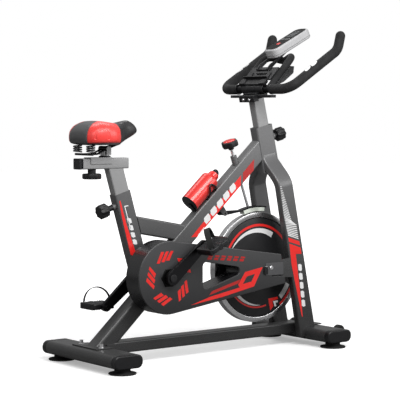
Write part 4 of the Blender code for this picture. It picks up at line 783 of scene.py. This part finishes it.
# %% A Geometry Nodes tree with named inputs
class Grower:
    """A Geometry Nodes tree whose inputs are numbers with names."""

    def __init__(self, name, material, **inputs):
        self.tree = bpy.data.node_groups.new(name, "GeometryNodeTree")
        face = self.tree.interface
        face.new_socket("Geometry", in_out="INPUT", socket_type="NodeSocketGeometry")
        self.names = {}
        for key, value in inputs.items():
            kind = "NodeSocketInt" if isinstance(value, int) else "NodeSocketFloat"
            socket = face.new_socket(key, in_out="INPUT", socket_type=kind)
            socket.default_value = value
            self.names[key] = socket.identifier
        face.new_socket("Geometry", in_out="OUTPUT", socket_type="NodeSocketGeometry")
        self.inputs = self.tree.nodes.new("NodeGroupInput").outputs
        self.material = material

    def node(self, kind, inputs=None, output=0, **settings):
        """Adds a node and gives one of its output sockets."""
        return add_node(self.tree, kind, inputs, settings).outputs[output]

    def end(self, geometry):
        real = self.node("GeometryNodeRealizeInstances", {0: geometry})
        dyed = self.node("GeometryNodeSetMaterial", {"Geometry": real, "Material": self.material})
        self.tree.links.new(dyed, self.tree.nodes.new("NodeGroupOutput").inputs[0])

    def grow(self, name, points, place, body, slot, stands_for=(), **values):
        """Runs the tree on some points and bakes what it makes."""
        mesh = bpy.data.meshes.new(name)
        mesh.from_pydata(points, [], [])
        obj = new_object(name, mesh)
        obj.matrix_world = place
        modifier = obj.modifiers.new("grow", "NODES")
        modifier.node_group = self.tree
        for key, value in values.items():
            modifier[self.names[key]] = value
        made = settle(obj, body, self.material, stands_for)
        smooth_by_angle(made.data, 35)
        return made


# %% Springs under the saddle
COIL_WIRE = 0.0026
coil = Grower("coil_spring", spring_steel, Radius=0.0132, Wire=COIL_WIRE, Turns=3.1, Height=0.022)
spiral = coil.node("GeometryNodeCurveSpiral", {
    "Resolution": 28, "Rotations": coil.inputs["Turns"], "Start Radius": coil.inputs["Radius"],
    "End Radius": coil.inputs["Radius"], "Height": coil.inputs["Height"]})
ring = coil.node("GeometryNodeCurvePrimitiveCircle", {"Resolution": 12, "Radius": coil.inputs["Wire"]})
coil.end(coil.node("GeometryNodeCurveToMesh", {"Curve": spiral, "Profile Curve": ring, "Fill Caps": True}))
for side in ("left", "right"):
    low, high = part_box(f"saddle_spring_{side}")
    at = (low + high) / 2
    place = Matrix.Translation((at.x, at.y, low.z + COIL_WIRE))
    coil.grow(f"coil_{side}", [(0, 0, 0)], place, "saddle", SLOT_OF[f"saddle_spring_{side}"],
              (f"saddle_spring_{side}",), Wire=COIL_WIRE, Height=high.z - low.z - 2 * COIL_WIRE)

# %% Bolts
bolt = Grower("hex_bolt", chrome, Radius=0.0065, Height=0.004)
head = bolt.node("GeometryNodeMeshCylinder", {"Vertices": 6, "Radius": bolt.inputs["Radius"],
                                              "Depth": bolt.inputs["Height"]}, fill_type="NGON")
WASHER_SPREAD = 1.35
wider = {0: bolt.inputs["Radius"], 1: WASHER_SPREAD}
washer_radius = bolt.node("ShaderNodeMath", wider, operation="MULTIPLY")
washer = bolt.node("GeometryNodeMeshCylinder", {"Vertices": 32, "Radius": washer_radius, "Depth": 0.0012},
                   fill_type="NGON")
lift = bolt.node("ShaderNodeMath", {0: bolt.inputs["Height"], 1: 0.5}, operation="MULTIPLY")
up = bolt.node("ShaderNodeCombineXYZ", {"Z": lift})
raised = bolt.node("GeometryNodeTransform", {"Geometry": head, "Translation": up})
pair = bolt.tree.nodes.new("GeometryNodeJoinGeometry")
bolt.tree.links.new(raised, pair.inputs[0])
bolt.tree.links.new(washer, pair.inputs[0])
placed = {"Points": bolt.inputs["Geometry"], "Instance": pair.outputs[0]}
bolt.end(bolt.node("GeometryNodeInstanceOnPoints", placed))
stab_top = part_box("rear_stabilizer")[1].z
on_stabilizer = Matrix.Translation((REAR.x, 0, stab_top + 0.0046))
tops = [(0, -0.061, 0), (0, 0.061, 0)]
bolt.grow("stabilizer_bolts", tops, on_stabilizer, "frame", "bright_steel", Radius=0.0070, Height=0.0130)
cover_plane = side_plane(COVER_FACE - 0.0022)
cover_bolts = [(*side_point(x, z), 0) for x, z in ((0.6640, 0.3010), (0.6870, 0.3012))]
bolt.grow("cover_bolts", cover_bolts, cover_plane, "frame", "bright_steel", Radius=0.0056, Height=0.0034)

# %% [markdown]
# ## Round tubes
#
# The handlebar's grips, the loop, the bottle cage and the cap's loop are all tubes along a
# rounded path. A grip ends in a dome.

# %% Tubes along a path
def rounded_path(corners, radius, steps=12):
    """A path in space with its inner corners turned into arcs."""
    corners = [Vector(c) for c in corners]
    path = [corners[0]]
    for before, here, after in zip(corners, corners[1:], corners[2:]):
        back, ahead = (before - here).normalized(), (after - here).normalized()
        half = back.angle(ahead) / 2
        shorter = min((before - here).length, (after - here).length)
        run = min(radius / tan(half), 0.48 * shorter)
        centre = here + (back + ahead).normalized() * (run / cos(half))
        first, last = here + back * run - centre, here + ahead * run - centre
        for i in range(steps + 1):
            path.append(centre + first.slerp(last, i / steps) * (run * tan(half)))
    return path + [corners[-1]]


def tube(name, points, radius, body, material, domes=(), sides=6, stands_for=()):
    """A round tube along points; domes names the ends that are rounded over, "first" or "last"."""
    line = [(Vector(p), 1.0) for p in points]
    for end in domes:
        tip, inner = (line[-1][0], line[-2][0]) if end == "last" else (line[0][0], line[1][0])
        away = (tip - inner).normalized()
        cap = [(tip + away * radius * sin(radians(a)), cos(radians(a))) for a in (25, 50, 70, 85)]
        line = line + cap if end == "last" else list(reversed(cap)) + line
    curve = bpy.data.curves.new(name, "CURVE")
    curve.dimensions = "3D"
    curve.bevel_depth = radius
    curve.bevel_resolution = sides
    curve.use_fill_caps = True
    spline = curve.splines.new("POLY")
    spline.points.add(len(line) - 1)
    for point, (co, scale) in zip(spline.points, line):
        point.co = (*co, 1)
        point.radius = scale
    made = settle(new_object(name, curve), body, material, stands_for)
    smooth_by_angle(made.data, 40)
    return made


# %% Handlebar: bare bar, foam grips and the middle loop
BAR = bike_point(0.710, 0, 0.9365)
BAR_R = 0.0135
GRIP_R = 0.018
GRIP_SLOPE = radians(31.8)
GRIP_UP = slope(GRIP_SLOPE)
GRIP_OVER = lean(GRIP_SLOPE)
GRIP_LENGTH = 0.268
TIP_SLOPE = radians(76)
TIP_LENGTH = 0.052
HALF_BAR = 0.190
BARE_HALF = 0.100
LOOP_SLOPE = radians(47.0)
LOOP_UP = slope(LOOP_SLOPE)
LOOP_OUT = lean(LOOP_SLOPE)
LOOP_LENGTH = 0.170
LOOP_HALF = 0.077
LEAF_STEPS = 32
LEAF_ANGLE = radians(80)
LEAF_SPREAD = 0.38


def grip_leaf(name, corner, out, reach):
    """A leaf-shaped white inlay bent round the top of a grip."""
    bm = bmesh.new()
    layers = []
    for radius in (GRIP_R - 0.0006, GRIP_R + 0.0004):
        rings = []
        for share in (0.25, 0.5, 0.75, 1.0):
            ring = []
            for i in range(LEAF_STEPS):
                turn = 2 * pi * i / LEAF_STEPS
                angle = LEAF_ANGLE + LEAF_SPREAD * share * sin(turn)
                along = reach + share * (0.0155 * cos(turn) + 0.006 * sin(turn))
                around = out * cos(angle) + GRIP_OVER * sin(angle)
                ring.append(bm.verts.new(corner + GRIP_UP * along + around * radius))
            rings.append(ring)
        layers.append(rings)
        bm.faces.new(rings[0])
        for inner, outer in zip(rings, rings[1:]):
            for i in range(LEAF_STEPS):
                j = (i + 1) % LEAF_STEPS
                bm.faces.new((inner[i], outer[i], outer[j], inner[j]))
    for i in range(LEAF_STEPS):
        j = (i + 1) % LEAF_STEPS
        bm.faces.new((layers[0][-1][i], layers[0][-1][j], layers[1][-1][j], layers[1][-1][i]))
    bmesh.ops.recalc_face_normals(bm, faces=bm.faces)
    settle(object_from(bm, name), "handlebar", white_film)


bare_line = [BAR + ACROSS * y for y in (-0.11, 0, 0.11)]
tube("bare_bar", bare_line, BAR_R, "handlebar", black_metal, sides=8, stands_for=("handlebar",))
for side, sign in SIDES:
    out = ACROSS * sign
    corner = BAR + out * HALF_BAR
    bend = corner + GRIP_UP * GRIP_LENGTH
    tip = bend + slope(TIP_SLOPE) * TIP_LENGTH
    path = rounded_path([BAR + out * BARE_HALF, corner, bend, tip], 0.050)
    tube(f"foam_grip_{side}", path, GRIP_R, "handlebar", grip, domes=("last",), sides=8)
    for k, reach in enumerate((0.108, 0.143)):
        grip_leaf(f"grip_mark_{side}_{k}", corner, out, reach)
leg = ACROSS * LOOP_HALF
top = BAR + LOOP_UP * LOOP_LENGTH
loop = [BAR - leg, top - leg, top - LOOP_OUT * 0.030, top + leg, BAR + leg]
tube("middle_loop", rounded_path(loop, 0.034), BAR_R, "handlebar", grip, sides=8)

# %% Clamp bolts and the bracket under the bar
POST_TILT = radians(13.0)
POST_LEAN = lean(POST_TILT)


def rounded_outline(length, width, radius, steps=8):
    """A rectangle with round corners, about the origin."""
    points = []
    for cx, cy, start in ((1, 1, 0), (-1, 1, 90), (-1, -1, 180), (1, -1, 270)):
        centre = (cx * (length / 2 - radius), cy * (width / 2 - radius))
        points += arc_points(centre, radius, start, start + 90, steps)
    return points


def slab_piece(name, outline, thickness, edge, place, body, slot, material=None, stands_for=(), segments=3):
    """An outline made into a slab about its middle, with rounded edges and its slot's own finish."""
    bm = bmesh.new()
    low = [bm.verts.new((x, y, -thickness / 2)) for x, y in outline]
    high = [bm.verts.new((x, y, thickness / 2)) for x, y in outline]
    bm.faces.new(list(reversed(low)))
    bm.faces.new(high)
    for i in range(len(outline)):
        j = (i + 1) % len(outline)
        bm.faces.new((low[i], low[j], high[j], high[i]))
    bmesh.ops.remove_doubles(bm, verts=bm.verts, dist=1e-6)
    obj = object_from(bm, name)
    obj.matrix_world = place
    round_edges(obj, edge, segments, 60)
    return settle(obj, body, material or FINISH_OF[slot], stands_for)


def frame_at(centre, along, up):
    """A place whose X runs along and whose Z is up."""
    along, up = Vector(along).normalized(), Vector(up).normalized()
    turn = Matrix((along, up.cross(along), up)).transposed().to_4x4()
    return Matrix.Translation(centre) @ turn


bracket = frame_at(BAR + Vector((-0.010, 0, -0.0255)), (0, 1, 0), (0, 0, 1))
slab_piece("bar_bracket", rounded_outline(0.230, 0.026, 0.003), 0.010, 0.0015, bracket, "handlebar_post",
           "black_plastic")
jaw = frame_at(BAR + Vector((-0.030, 0, -0.0330)), (0, 1, 0), POST_LEAN)
slab_piece("clamp_jaw", rounded_outline(0.084, 0.026, 0.004), 0.024, 0.002, jaw, "handlebar_post",
           "black_plastic")
jaw_bolts = Matrix.Translation(BAR + Vector((-0.0425, 0, -0.0380))) @ facing(-slope(POST_TILT))
bolt.grow("clamp_bolts", [(-0.017, 0, 0), (0.017, 0, 0)], jaw_bolts, "handlebar_post", "bright_steel",
          Radius=0.0040, Height=0.003)
collar_line = [(0.0132, -0.0035), (0.0190, -0.0035), (0.0190, 0.0035), (0.0132, 0.0035)]
CLAMP_HALF = 0.06
for k, y in enumerate((-0.0955, -0.010, 0.030, 0.0955)):
    collar = turned_piece(f"bar_collar_{k}", rounded_profile(collar_line, 0.001), 48, BAR + ACROSS * y)
    settle(collar, "handlebar" if abs(y) > CLAMP_HALF else "handlebar_post", black_plastic)

# %% Device tray: side wings, stops and a ribbed back
tray_at = BAR + LOOP_OUT * 0.0205
for k, (u, v, length, width) in enumerate(((0.050, -0.050, 0.030, 0.016), (0.050, 0.050, 0.030, 0.016),
                                           (0.082, 0.0, 0.014, 0.060), (0.062, -0.012, 0.010, 0.070),
                                           (0.040, -0.020, 0.010, 0.018), (0.040, 0.024, 0.010, 0.018),
                                           (0.020, 0.0, 0.034, 0.132))):
    place = frame_at(tray_at + LOOP_UP * u + ACROSS * v, LOOP_UP, LOOP_OUT)
    slab_piece(f"tray_rib_{k}", rounded_outline(length, width, 0.003), 0.006, 0.0012, place, "handlebar",
               "black_plastic")
for side, v in (("right", -0.052), ("left", 0.060)):
    place = frame_at(tray_at + LOOP_UP * 0.014 + ACROSS * v, LOOP_UP, LOOP_OUT)
    slab_piece(f"tray_clip_{side}", rounded_outline(0.024, 0.030, 0.004), 0.014, 0.0020, place, "handlebar",
               "black_plastic")
wing = [(0.028, -0.002), (0.120, -0.006), (0.132, -0.020), (0.112, -0.034), (0.060, -0.024), (0.034, -0.012)]
upright = Matrix.Rotation(pi / 2, 4, "X") @ Matrix.Rotation(LOOP_SLOPE, 4, "Z")
for side, y in (("right", -0.0925), ("left", 0.0925)):
    place = Matrix.Translation(BAR + ACROSS * y) @ upright
    slab_piece(f"tray_wing_{side}", wing, 0.004, 0.0010, place, "handlebar", "black_plastic")

# %% Console
CONSOLE = bike_point(0.8635, 0, 1.106)
PITCH = radians(27.0)


def on_console(along, up):
    """A place on the console: along its slope and up from its middle."""
    centre = CONSOLE + slope(PITCH) * along + lean(PITCH) * up
    return frame_at(centre, slope(PITCH), lean(PITCH))


PRINT_LIFT = 0.0180
slab_piece("console_shell", rounded_outline(0.190, 0.074, 0.024), 0.034, 0.006, on_console(0, 0), "handlebar",
           "console_shell", stands_for=("console",), segments=5)
slab_piece("console_seam", rounded_outline(0.1905, 0.0745, 0.0242), 0.0012, 0.0003, on_console(0, -0.007),
           "handlebar", "console_shell", black_plastic)
slab_piece("console_face", rounded_outline(0.176, 0.062, 0.020), 0.0012, 0.0004, on_console(0, 0.0172),
           "handlebar", "console_shell", glossy_plastic)
marks = [[(-0.004, y - 0.002), (0.001, y - 0.002), (0.001, y + 0.002), (-0.004, y + 0.002)]
         for y in (-0.020, -0.012, -0.004, 0.004, 0.012, 0.020)]
film("console_marks", marks, on_console(0, PRINT_LIFT), "handlebar", pale_print)
glass = [rounded_outline(0.052, 0.040, 0.003)]
film("console_glass", glass, on_console(0.040, PRINT_LIFT), "handlebar",
     moulded("dark_glass", (0.020, 0.024, 0.024), 0.08, 0.0001, 3000))
lines = [[(x, -0.014), (x + 0.0012, -0.014), (x + 0.0012, 0.014), (x, 0.014)]
         for x in (0.022, 0.034, 0.046, 0.058)]
film("console_lines", lines, on_console(0, PRINT_LIFT + 0.0004), "handlebar", pale_print)

# %% Bottle, its cap and the cage
BOTTLE = CRANK + MAIN_UP * 0.0626 + MAIN_ALONG * 0.289
BOTTLE_R = 0.0330
enamel = Finish("bottle_enamel", (0.80, 0.040, 0.034), 0.34, 0.35, Coat_Weight=0.5, Coat_Roughness=0.12)
enamel.set("Roughness", 0.30 + enamel.noise(30, 3.0) * 0.08)
body_line = [(0.0, 0.003), (BOTTLE_R, 0.003), (BOTTLE_R, 0.118), (0.0325, 0.122), (0.0305, 0.127),
             (0.0265, 0.131), (0.0200, 0.134), (0.0185, 0.136), (0.0185, 0.139), (0.0198, 0.140),
             (0.0198, 0.143), (0.0185, 0.144), (0.0185, 0.150), (0.0150, 0.153), (0.0, 0.153)]
bottle = turned_piece("bottle_body", body_line, 96, BOTTLE, closed=False, axis=MAIN_ALONG)
settle(bottle, "bottle", enamel.material, ("bottle",))
base_line = rounded_profile([(0.0, 0.0004), (0.0325, 0.0004), (BOTTLE_R, 0.004), (0.0, 0.004)], 0.001)
base = turned_piece("bottle_base", base_line, 72, BOTTLE, axis=MAIN_ALONG)
settle(base, "bottle", black_plastic)
cap_line = [(0.0, 0.150), (0.0155, 0.150), (0.0160, 0.153), (0.0130, 0.157), (0.0070, 0.159), (0.0060, 0.164),
            (0.0, 0.165)]
cap = turned_piece("bottle_cap", cap_line, 64, BOTTLE, closed=False, axis=MAIN_ALONG)
settle(cap, "bottle", black_plastic)
cap_top = BOTTLE + MAIN_ALONG * 0.155
HOOP_STEPS = 16
hoop = []
for i in range(HOOP_STEPS + 1):
    turn = pi * i / HOOP_STEPS
    hoop.append(cap_top + MAIN_ALONG * 0.0135 * sin(turn) + MAIN_UP * 0.0125 * cos(turn))
tube("cap_loop", hoop, 0.0028, "bottle", black_plastic)
CAGE_R = 0.0395
CAGE_WIRE = 0.0032


def on_bottle(along, angle):
    """A place on the cage: angle from the side next to the tube, towards +Y."""
    around = -MAIN_UP * cos(radians(angle)) + ACROSS * sin(radians(angle))
    return BOTTLE + MAIN_ALONG * along + around * CAGE_R


ARM = ((0.060, 6), (0.062, 26), (0.068, 50), (0.078, 76), (0.087, 98), (0.096, 100), (0.103, 80), (0.109, 52),
       (0.112, 26), (0.112, 6))
for side, sign in SIDES:
    corners = [on_bottle(s, sign * a) for s, a in ARM]
    tube(f"cage_arm_{side}", rounded_path(corners, 0.012, 5), CAGE_WIRE, "frame",
         black_plastic, domes=("first", "last"), stands_for=("bottle_cage",) if sign < 0 else ())
spine = frame_at(BOTTLE - MAIN_UP * (BOTTLE_R + 0.0020) + MAIN_ALONG * 0.056, MAIN_ALONG, MAIN_UP)
slab_piece("cage_spine", rounded_outline(0.118, 0.018, 0.006), 0.003, 0.0008, spine, "frame", "black_plastic")
heel = frame_at(BOTTLE - MAIN_UP * 0.018 - MAIN_ALONG * 0.0022, MAIN_UP, MAIN_ALONG)
slab_piece("cage_heel", rounded_outline(0.034, 0.020, 0.006), 0.0032, 0.0008, heel, "frame", "black_plastic")

# %% [markdown]
# ## Pedals and cranks
#
# Each pedal is a moulded platform with raised bars at its ends and rows of studs, drawn about
# its spindle and pitched as it hangs.

# %% Pedals
CRANK_LENGTH = 0.171
TREAD_LIFT = 0.0093
stud = Grower("tread_studs", tread_plastic, Columns=8, Rows=8, Width=0.066, Depth=0.070, Size=0.0052,
              Height=0.0024)
grid = stud.node("GeometryNodeMeshGrid", {
    "Size X": stud.inputs["Width"], "Size Y": stud.inputs["Depth"],
    "Vertices X": stud.inputs["Columns"], "Vertices Y": stud.inputs["Rows"]})
peak = stud.node("GeometryNodeMeshCone", {
    "Vertices": 4, "Radius Top": 0.0014, "Radius Bottom": stud.inputs["Size"],
    "Depth": stud.inputs["Height"]}, fill_type="NGON")
stud.end(stud.node("GeometryNodeInstanceOnPoints", {"Points": grid, "Instance": peak}))
for side, angle, pitch in (("right", 39.0, 28.0), ("left", 219.0, 0.0)):
    eye = CRANK + slope(radians(angle)) * CRANK_LENGTH
    eye.y = middle(f"pedal_{side}").y
    turn = Matrix.Translation(eye) @ Matrix.Rotation(-radians(pitch), 4, "Y")
    body = f"pedal_{side}"
    slab_piece(f"pedal_platform_{side}", rounded_outline(0.094, 0.086, 0.018), 0.0165, 0.003, turn, body,
               "black_plastic", stands_for=(body,))
    for k, x in enumerate((-0.041, 0.041)):
        rail = turn @ Matrix.Translation((x, 0, 0))
        slab_piece(f"pedal_rail_{side}_{k}", rounded_outline(0.010, 0.078, 0.004), 0.0215, 0.002, rail, body,
                   "black_plastic")
    hub = turn @ Matrix.Rotation(pi / 2, 4, "X")
    slab_piece(f"pedal_hub_{side}", arc_points((0, 0), 0.0115, 0, 345, 23), 0.087, 0.002, hub, body,
               "black_plastic")
    for face, flip in (("top", 0), ("under", pi)):
        plate = turn @ Matrix.Rotation(flip, 4, "X") @ Matrix.Translation((0, 0, TREAD_LIFT))
        stud.grow(f"pedal_tread_{face}_{side}", [(0, 0, 0)], plate, body, "black_plastic")
print("pedals done")

# %% Crank caps, cover collar and the brake knob's cap
arm_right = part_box("crank_arm_right")[0].y
arm_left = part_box("crank_arm_left")[1].y
cap_line = rounded_profile([(0.0, -0.0030), (0.0135, -0.0030), (0.0135, 0.0015), (0.0, 0.0015)], 0.0012)
cap = turned_piece("crank_cap_right", cap_line, 48, (CRANK.x, arm_right, CRANK.z))
settle(cap, "crank", black_plastic)
cap = turned_piece("crank_cap_left", [(r, -h) for r, h in cap_line], 48, (CRANK.x, arm_left, CRANK.z))
settle(cap, "crank", black_plastic)
collar_line = rounded_profile([(0.0130, -0.0030), (0.0330, -0.0030), (0.0350, 0.0), (0.0130, 0.0)], 0.0012)
collar = turned_piece("cover_collar", collar_line, 6, (CRANK.x, COVER_FACE, CRANK.z))
settle(collar, "frame", glossy_plastic)
BRAKE_UP = lean(radians(20.0))
knob_top = bike_point(0.594, 0, 0.741) + BRAKE_UP * 0.0110
dome = [(0.0, -0.001), (0.0215, -0.001), (0.0225, 0.0004), (0.0205, 0.0020), (0.0120, 0.0030), (0.0, 0.0032)]
knob_cap = turned_piece("brake_knob_cap", dome, 48, knob_top, closed=False, axis=BRAKE_UP)
settle(knob_cap, "brake_knob", red_film)
plate_place = side_plane(COVER_FACE - 0.0009) @ Matrix.Translation((REAR.x + 0.7020, 0.2960, 0))
slab_piece("adjuster_plate", rounded_outline(0.082, 0.044, 0.004), 0.0018, 0.0005, plate_place, "frame",
           "cover_plastic", recess_plastic)
# Painted shade: a black block stands for the shade inside the adjuster's square hole.
square_place = side_plane(COVER_FACE - 0.0030) @ Matrix.Translation((REAR.x + 0.6600, 0.2930, 0))
slab_piece("adjuster_block", rounded_outline(0.017, 0.026, 0.002), 0.0060, 0.0010, square_place, "frame",
           "cover_plastic", black_plastic)

# %% Seat bar's rear plug and the saddle post's sleeve
plug = frame_at(bike_point(-0.0510, 0, 0.683), (0, 1, 0), (-1, 0, 0))
slab_piece("seat_bar_plug", rounded_outline(0.0385, 0.0365, 0.004), 0.010, 0.0015, plug, "seat_post",
           "black_plastic")
UPRIGHT = (0, 0, 1)
SADDLE_POST_R = 0.0143
post_foot = bike_point(0.057, 0, 0.7045)
sleeve_line = [(SADDLE_POST_R, 0.0), (0.0152, 0.0), (0.0152, 0.0215), (SADDLE_POST_R, 0.0215)]
sleeve = turned_piece("saddle_post_sleeve", rounded_profile(sleeve_line, 0.0003), 64, post_foot, axis=UPRIGHT)
settle(sleeve, "saddle_slider", chrome)
foot_line = [(SADDLE_POST_R, 0.0), (0.0205, 0.0), (0.0200, 0.0035), (SADDLE_POST_R, 0.0050)]
foot = turned_piece("saddle_post_foot", rounded_profile(foot_line, 0.0006), 64, post_foot, axis=UPRIGHT)
settle(foot, "saddle_slider", black_metal)

# %% [markdown]
# ## The saddle
#
# The padded saddle starts from the plain solid. It is remeshed, blown up a little as cloth, and
# smoothed. The red lobes, the dark rear stripe and the dark nose are one vinyl with seams pressed in.

# %% Vinyl with coloured panels
def saddle_finish():
    """Red vinyl with a dark nose, rear stripe and hem; lengths are from the bike's own places."""
    finish = Finish("saddle_vinyl", RED, 0.42, 0.0, Coat_Weight=0.35, Coat_Roughness=0.25)
    place = finish.place()
    x = finish.axis(place, "X") - REAR.x
    side = finish.axis(place, "Y").absolute()
    z = finish.axis(place, "Z")
    past_nose = x - (0.072 - (side - 0.04) * 0.05)
    nose = past_nose.step(-0.0012, 0.0012)
    crown = (x + 0.052).math("MAXIMUM", 0.0)
    past_stripe = side - (0.056 - crown * 0.36)
    stripe = past_stripe.step(-0.0012, 0.0012)
    ahead = (x - 0.004).step(-0.001, 0.001)
    rear = (1 - stripe) * (1 - ahead)
    hem = (z - 0.7530).step(-0.0010, 0.0010)
    dark = nose.math("MAXIMUM", rear)
    black = finish.mix(rear * (1 - nose), (0.010, 0.010, 0.011), (0.060, 0.060, 0.062))
    vinyl = finish.mix(finish.noise(9, 2.0).step(0.35, 0.7), (0.74, 0.036, 0.030), (0.86, 0.060, 0.052))
    finish.set("Base Color", finish.mix(hem, (0.012, 0.012, 0.013), finish.mix(dark, vinyl, black)))
    finish.set("Roughness", 0.36 + dark * 0.14 + finish.noise(80, 3.0) * 0.08)
    dx, dz = x + 0.0100, z - 0.7740
    arch = (dx * dx + dz * dz * 0.8).math("SQRT")
    groove = (arch - 0.0225).absolute()
    on_lobe = (z - 0.7640).step(0.0, 0.003) * (side - 0.06).step(0.0, 0.01)
    pressed = (1 - groove.step(0.0010, 0.0042)) * on_lobe
    seam_nose = 1 - past_nose.absolute().step(0.0006, 0.0022)
    seam_rear = (1 - past_stripe.absolute().step(0.0006, 0.0022)) * (1 - ahead)
    grain = finish.cells(950)
    finish.bump(grain * 0.10 - pressed * 1.0 - seam_nose * 0.7 - seam_rear * 0.7, 0.7, 0.0022)
    return finish.material


saddle_vinyl = saddle_finish()


# %% Blow the saddle up as cloth
def puffed(node, name, voxel, pressure, cap):
    """A remeshed copy of a solid, blown up as cloth, no further than a cap."""
    obj = object_from(merged_copy(node), name)
    remesh = obj.modifiers.new("voxels", "REMESH")
    remesh.mode = "VOXEL"
    remesh.voxel_size = voxel
    smooth = obj.modifiers.new("even", "SMOOTH")
    smooth.factor = 0.5
    smooth.iterations = 8
    bpy.context.view_layer.update()
    flat = evaluated_mesh(obj)
    obj.modifiers.clear()
    obj.data = flat
    rest = [v.co.copy() for v in flat.vertices]
    last_frame = 20
    cloth = obj.modifiers.new("cloth", "CLOTH")
    cloth.settings.quality = 5
    cloth.settings.use_pressure = True
    cloth.settings.uniform_pressure_force = pressure
    cloth.settings.effector_weights.gravity = 0
    cloth.settings.tension_stiffness = 20
    cloth.settings.compression_stiffness = 20
    cloth.settings.bending_stiffness = 2
    cloth.point_cache.frame_start = 1
    cloth.point_cache.frame_end = last_frame
    for step in range(1, last_frame + 1):
        scene.frame_set(step)
    blown = evaluated_mesh(obj)
    obj.modifiers.clear()
    for vertex, start, after in zip(obj.data.vertices, rest, blown.vertices):
        move = after.co - start
        if move.length > cap:
            move *= cap / move.length
        vertex.co = start + move
    scene.frame_set(1)
    again = obj.modifiers.new("even", "SMOOTH")
    again.factor = 0.5
    again.iterations = 3
    divide = obj.modifiers.new("divide", "SUBSURF")
    divide.levels = 1
    divide.render_levels = 1
    return obj


saddle = puffed("saddle", "saddle_padding", 0.005, 4.0, 0.0020)
saddle = settle(saddle, "saddle", saddle_vinyl, ("saddle",))
saddle.data.shade_smooth()
print("saddle", len(saddle.data.polygons), "faces")

# %% [markdown]
# ## Stage, light and camera
#
# A wide pale floor that fades to white with distance, four soft area lights with the strongest
# in front and above, and a long lens that looks down on the bike by a few degrees.

# %% Floor, surround and lights
def camera_only(tree, seen, unseen):
    """A shader that the camera sees and another that lights and reflects."""
    mix = tree.nodes.new("ShaderNodeMixShader")
    path = tree.nodes.new("ShaderNodeLightPath")
    tree.links.new(path.outputs["Is Camera Ray"], mix.inputs[0])
    tree.links.new(unseen.outputs[0], mix.inputs[1])
    tree.links.new(seen.outputs[0], mix.inputs[2])
    return mix


def lay_floor():
    """A wide floor that reads as white paper with a soft shadow."""
    bm = bmesh.new()
    bmesh.ops.create_grid(bm, x_segments=1, y_segments=1, size=14)
    floor = object_from(bm, "studio_floor")
    paper = Finish("white_paper", (0.90, 0.90, 0.90), 0.95, 0.0, Emission_Strength=1.0)
    where = paper.place()
    east, north = paper.axis(where, "X"), paper.axis(where, "Y")
    near, far = 0.7, 2.4
    away = (east * east + north * north).math("SQRT").step(near, far)
    paper.set("Emission Color", paper.mix(away, (0.34, 0.34, 0.34), (1.1, 1.1, 1.1)))
    matt = paper.tree.nodes.new("ShaderNodeBsdfDiffuse")
    matt.inputs[0].default_value = (0.22, 0.22, 0.22, 1)
    mix = camera_only(paper.tree, paper.shader, matt)
    paper.tree.links.new(mix.outputs[0], paper.tree.nodes["Material Output"].inputs[0])
    floor.data.materials.append(paper.material)


def area_light(name, place, target, size, power):
    """A soft rectangular light that faces a target."""
    lamp = bpy.data.lights.new(name, "AREA")
    lamp.shape = "RECTANGLE"
    lamp.size, lamp.size_y = size
    lamp.energy = power
    obj = new_object(name, lamp)
    obj.location = place
    obj.rotation_euler = (Vector(target) - Vector(place)).to_track_quat("-Z", "Y").to_euler()


def hang_world(surround):
    """White behind the bike, a dimmer grey all round it."""
    world = bpy.data.worlds.new("studio")
    world.use_nodes = True
    tree = world.node_tree
    around = tree.nodes["Background"]
    around.inputs[0].default_value = (1, 1, 1, 1)
    around.inputs[1].default_value = surround
    behind = tree.nodes.new("ShaderNodeBackground")
    behind.inputs[0].default_value = (1, 1, 1, 1)
    mix = camera_only(tree, behind, around)
    tree.links.new(mix.outputs[0], tree.nodes["World Output"].inputs[0])
    scene.world = world


lay_floor()
area_light("key", (-0.4, -1.7, 2.1), (0.05, 0, 0.75), (2.4, 0.8), 62)
area_light("side", (1.9, -2.3, 1.35), (0.1, 0, 0.9), (1.5, 1.1), 22)
area_light("top", (0.2, 1.1, 2.6), (0, 0, 0.5), (2.0, 0.6), 16)
area_light("rear", (-2.4, -0.9, 1.7), (-0.4, 0, 0.2), (0.7, 0.9), 9)
hang_world(0.35)
scene.view_settings.view_transform = "Standard"

# %% Camera
AZIMUTH = radians(-37.29)
ELEVATION = radians(3.39)
camera_data = bpy.data.cameras.new("camera")
camera_data.sensor_width = 36.0
camera_data.lens = 136.81  # millimetres
camera = new_object("camera", camera_data)
camera.location = (-3.2723, -4.2593, 0.8622)
camera.rotation_euler = (pi / 2 - ELEVATION, 0, AZIMUTH)
scene.camera = camera
print("camera at", tuple(round(v, 3) for v in camera.location))
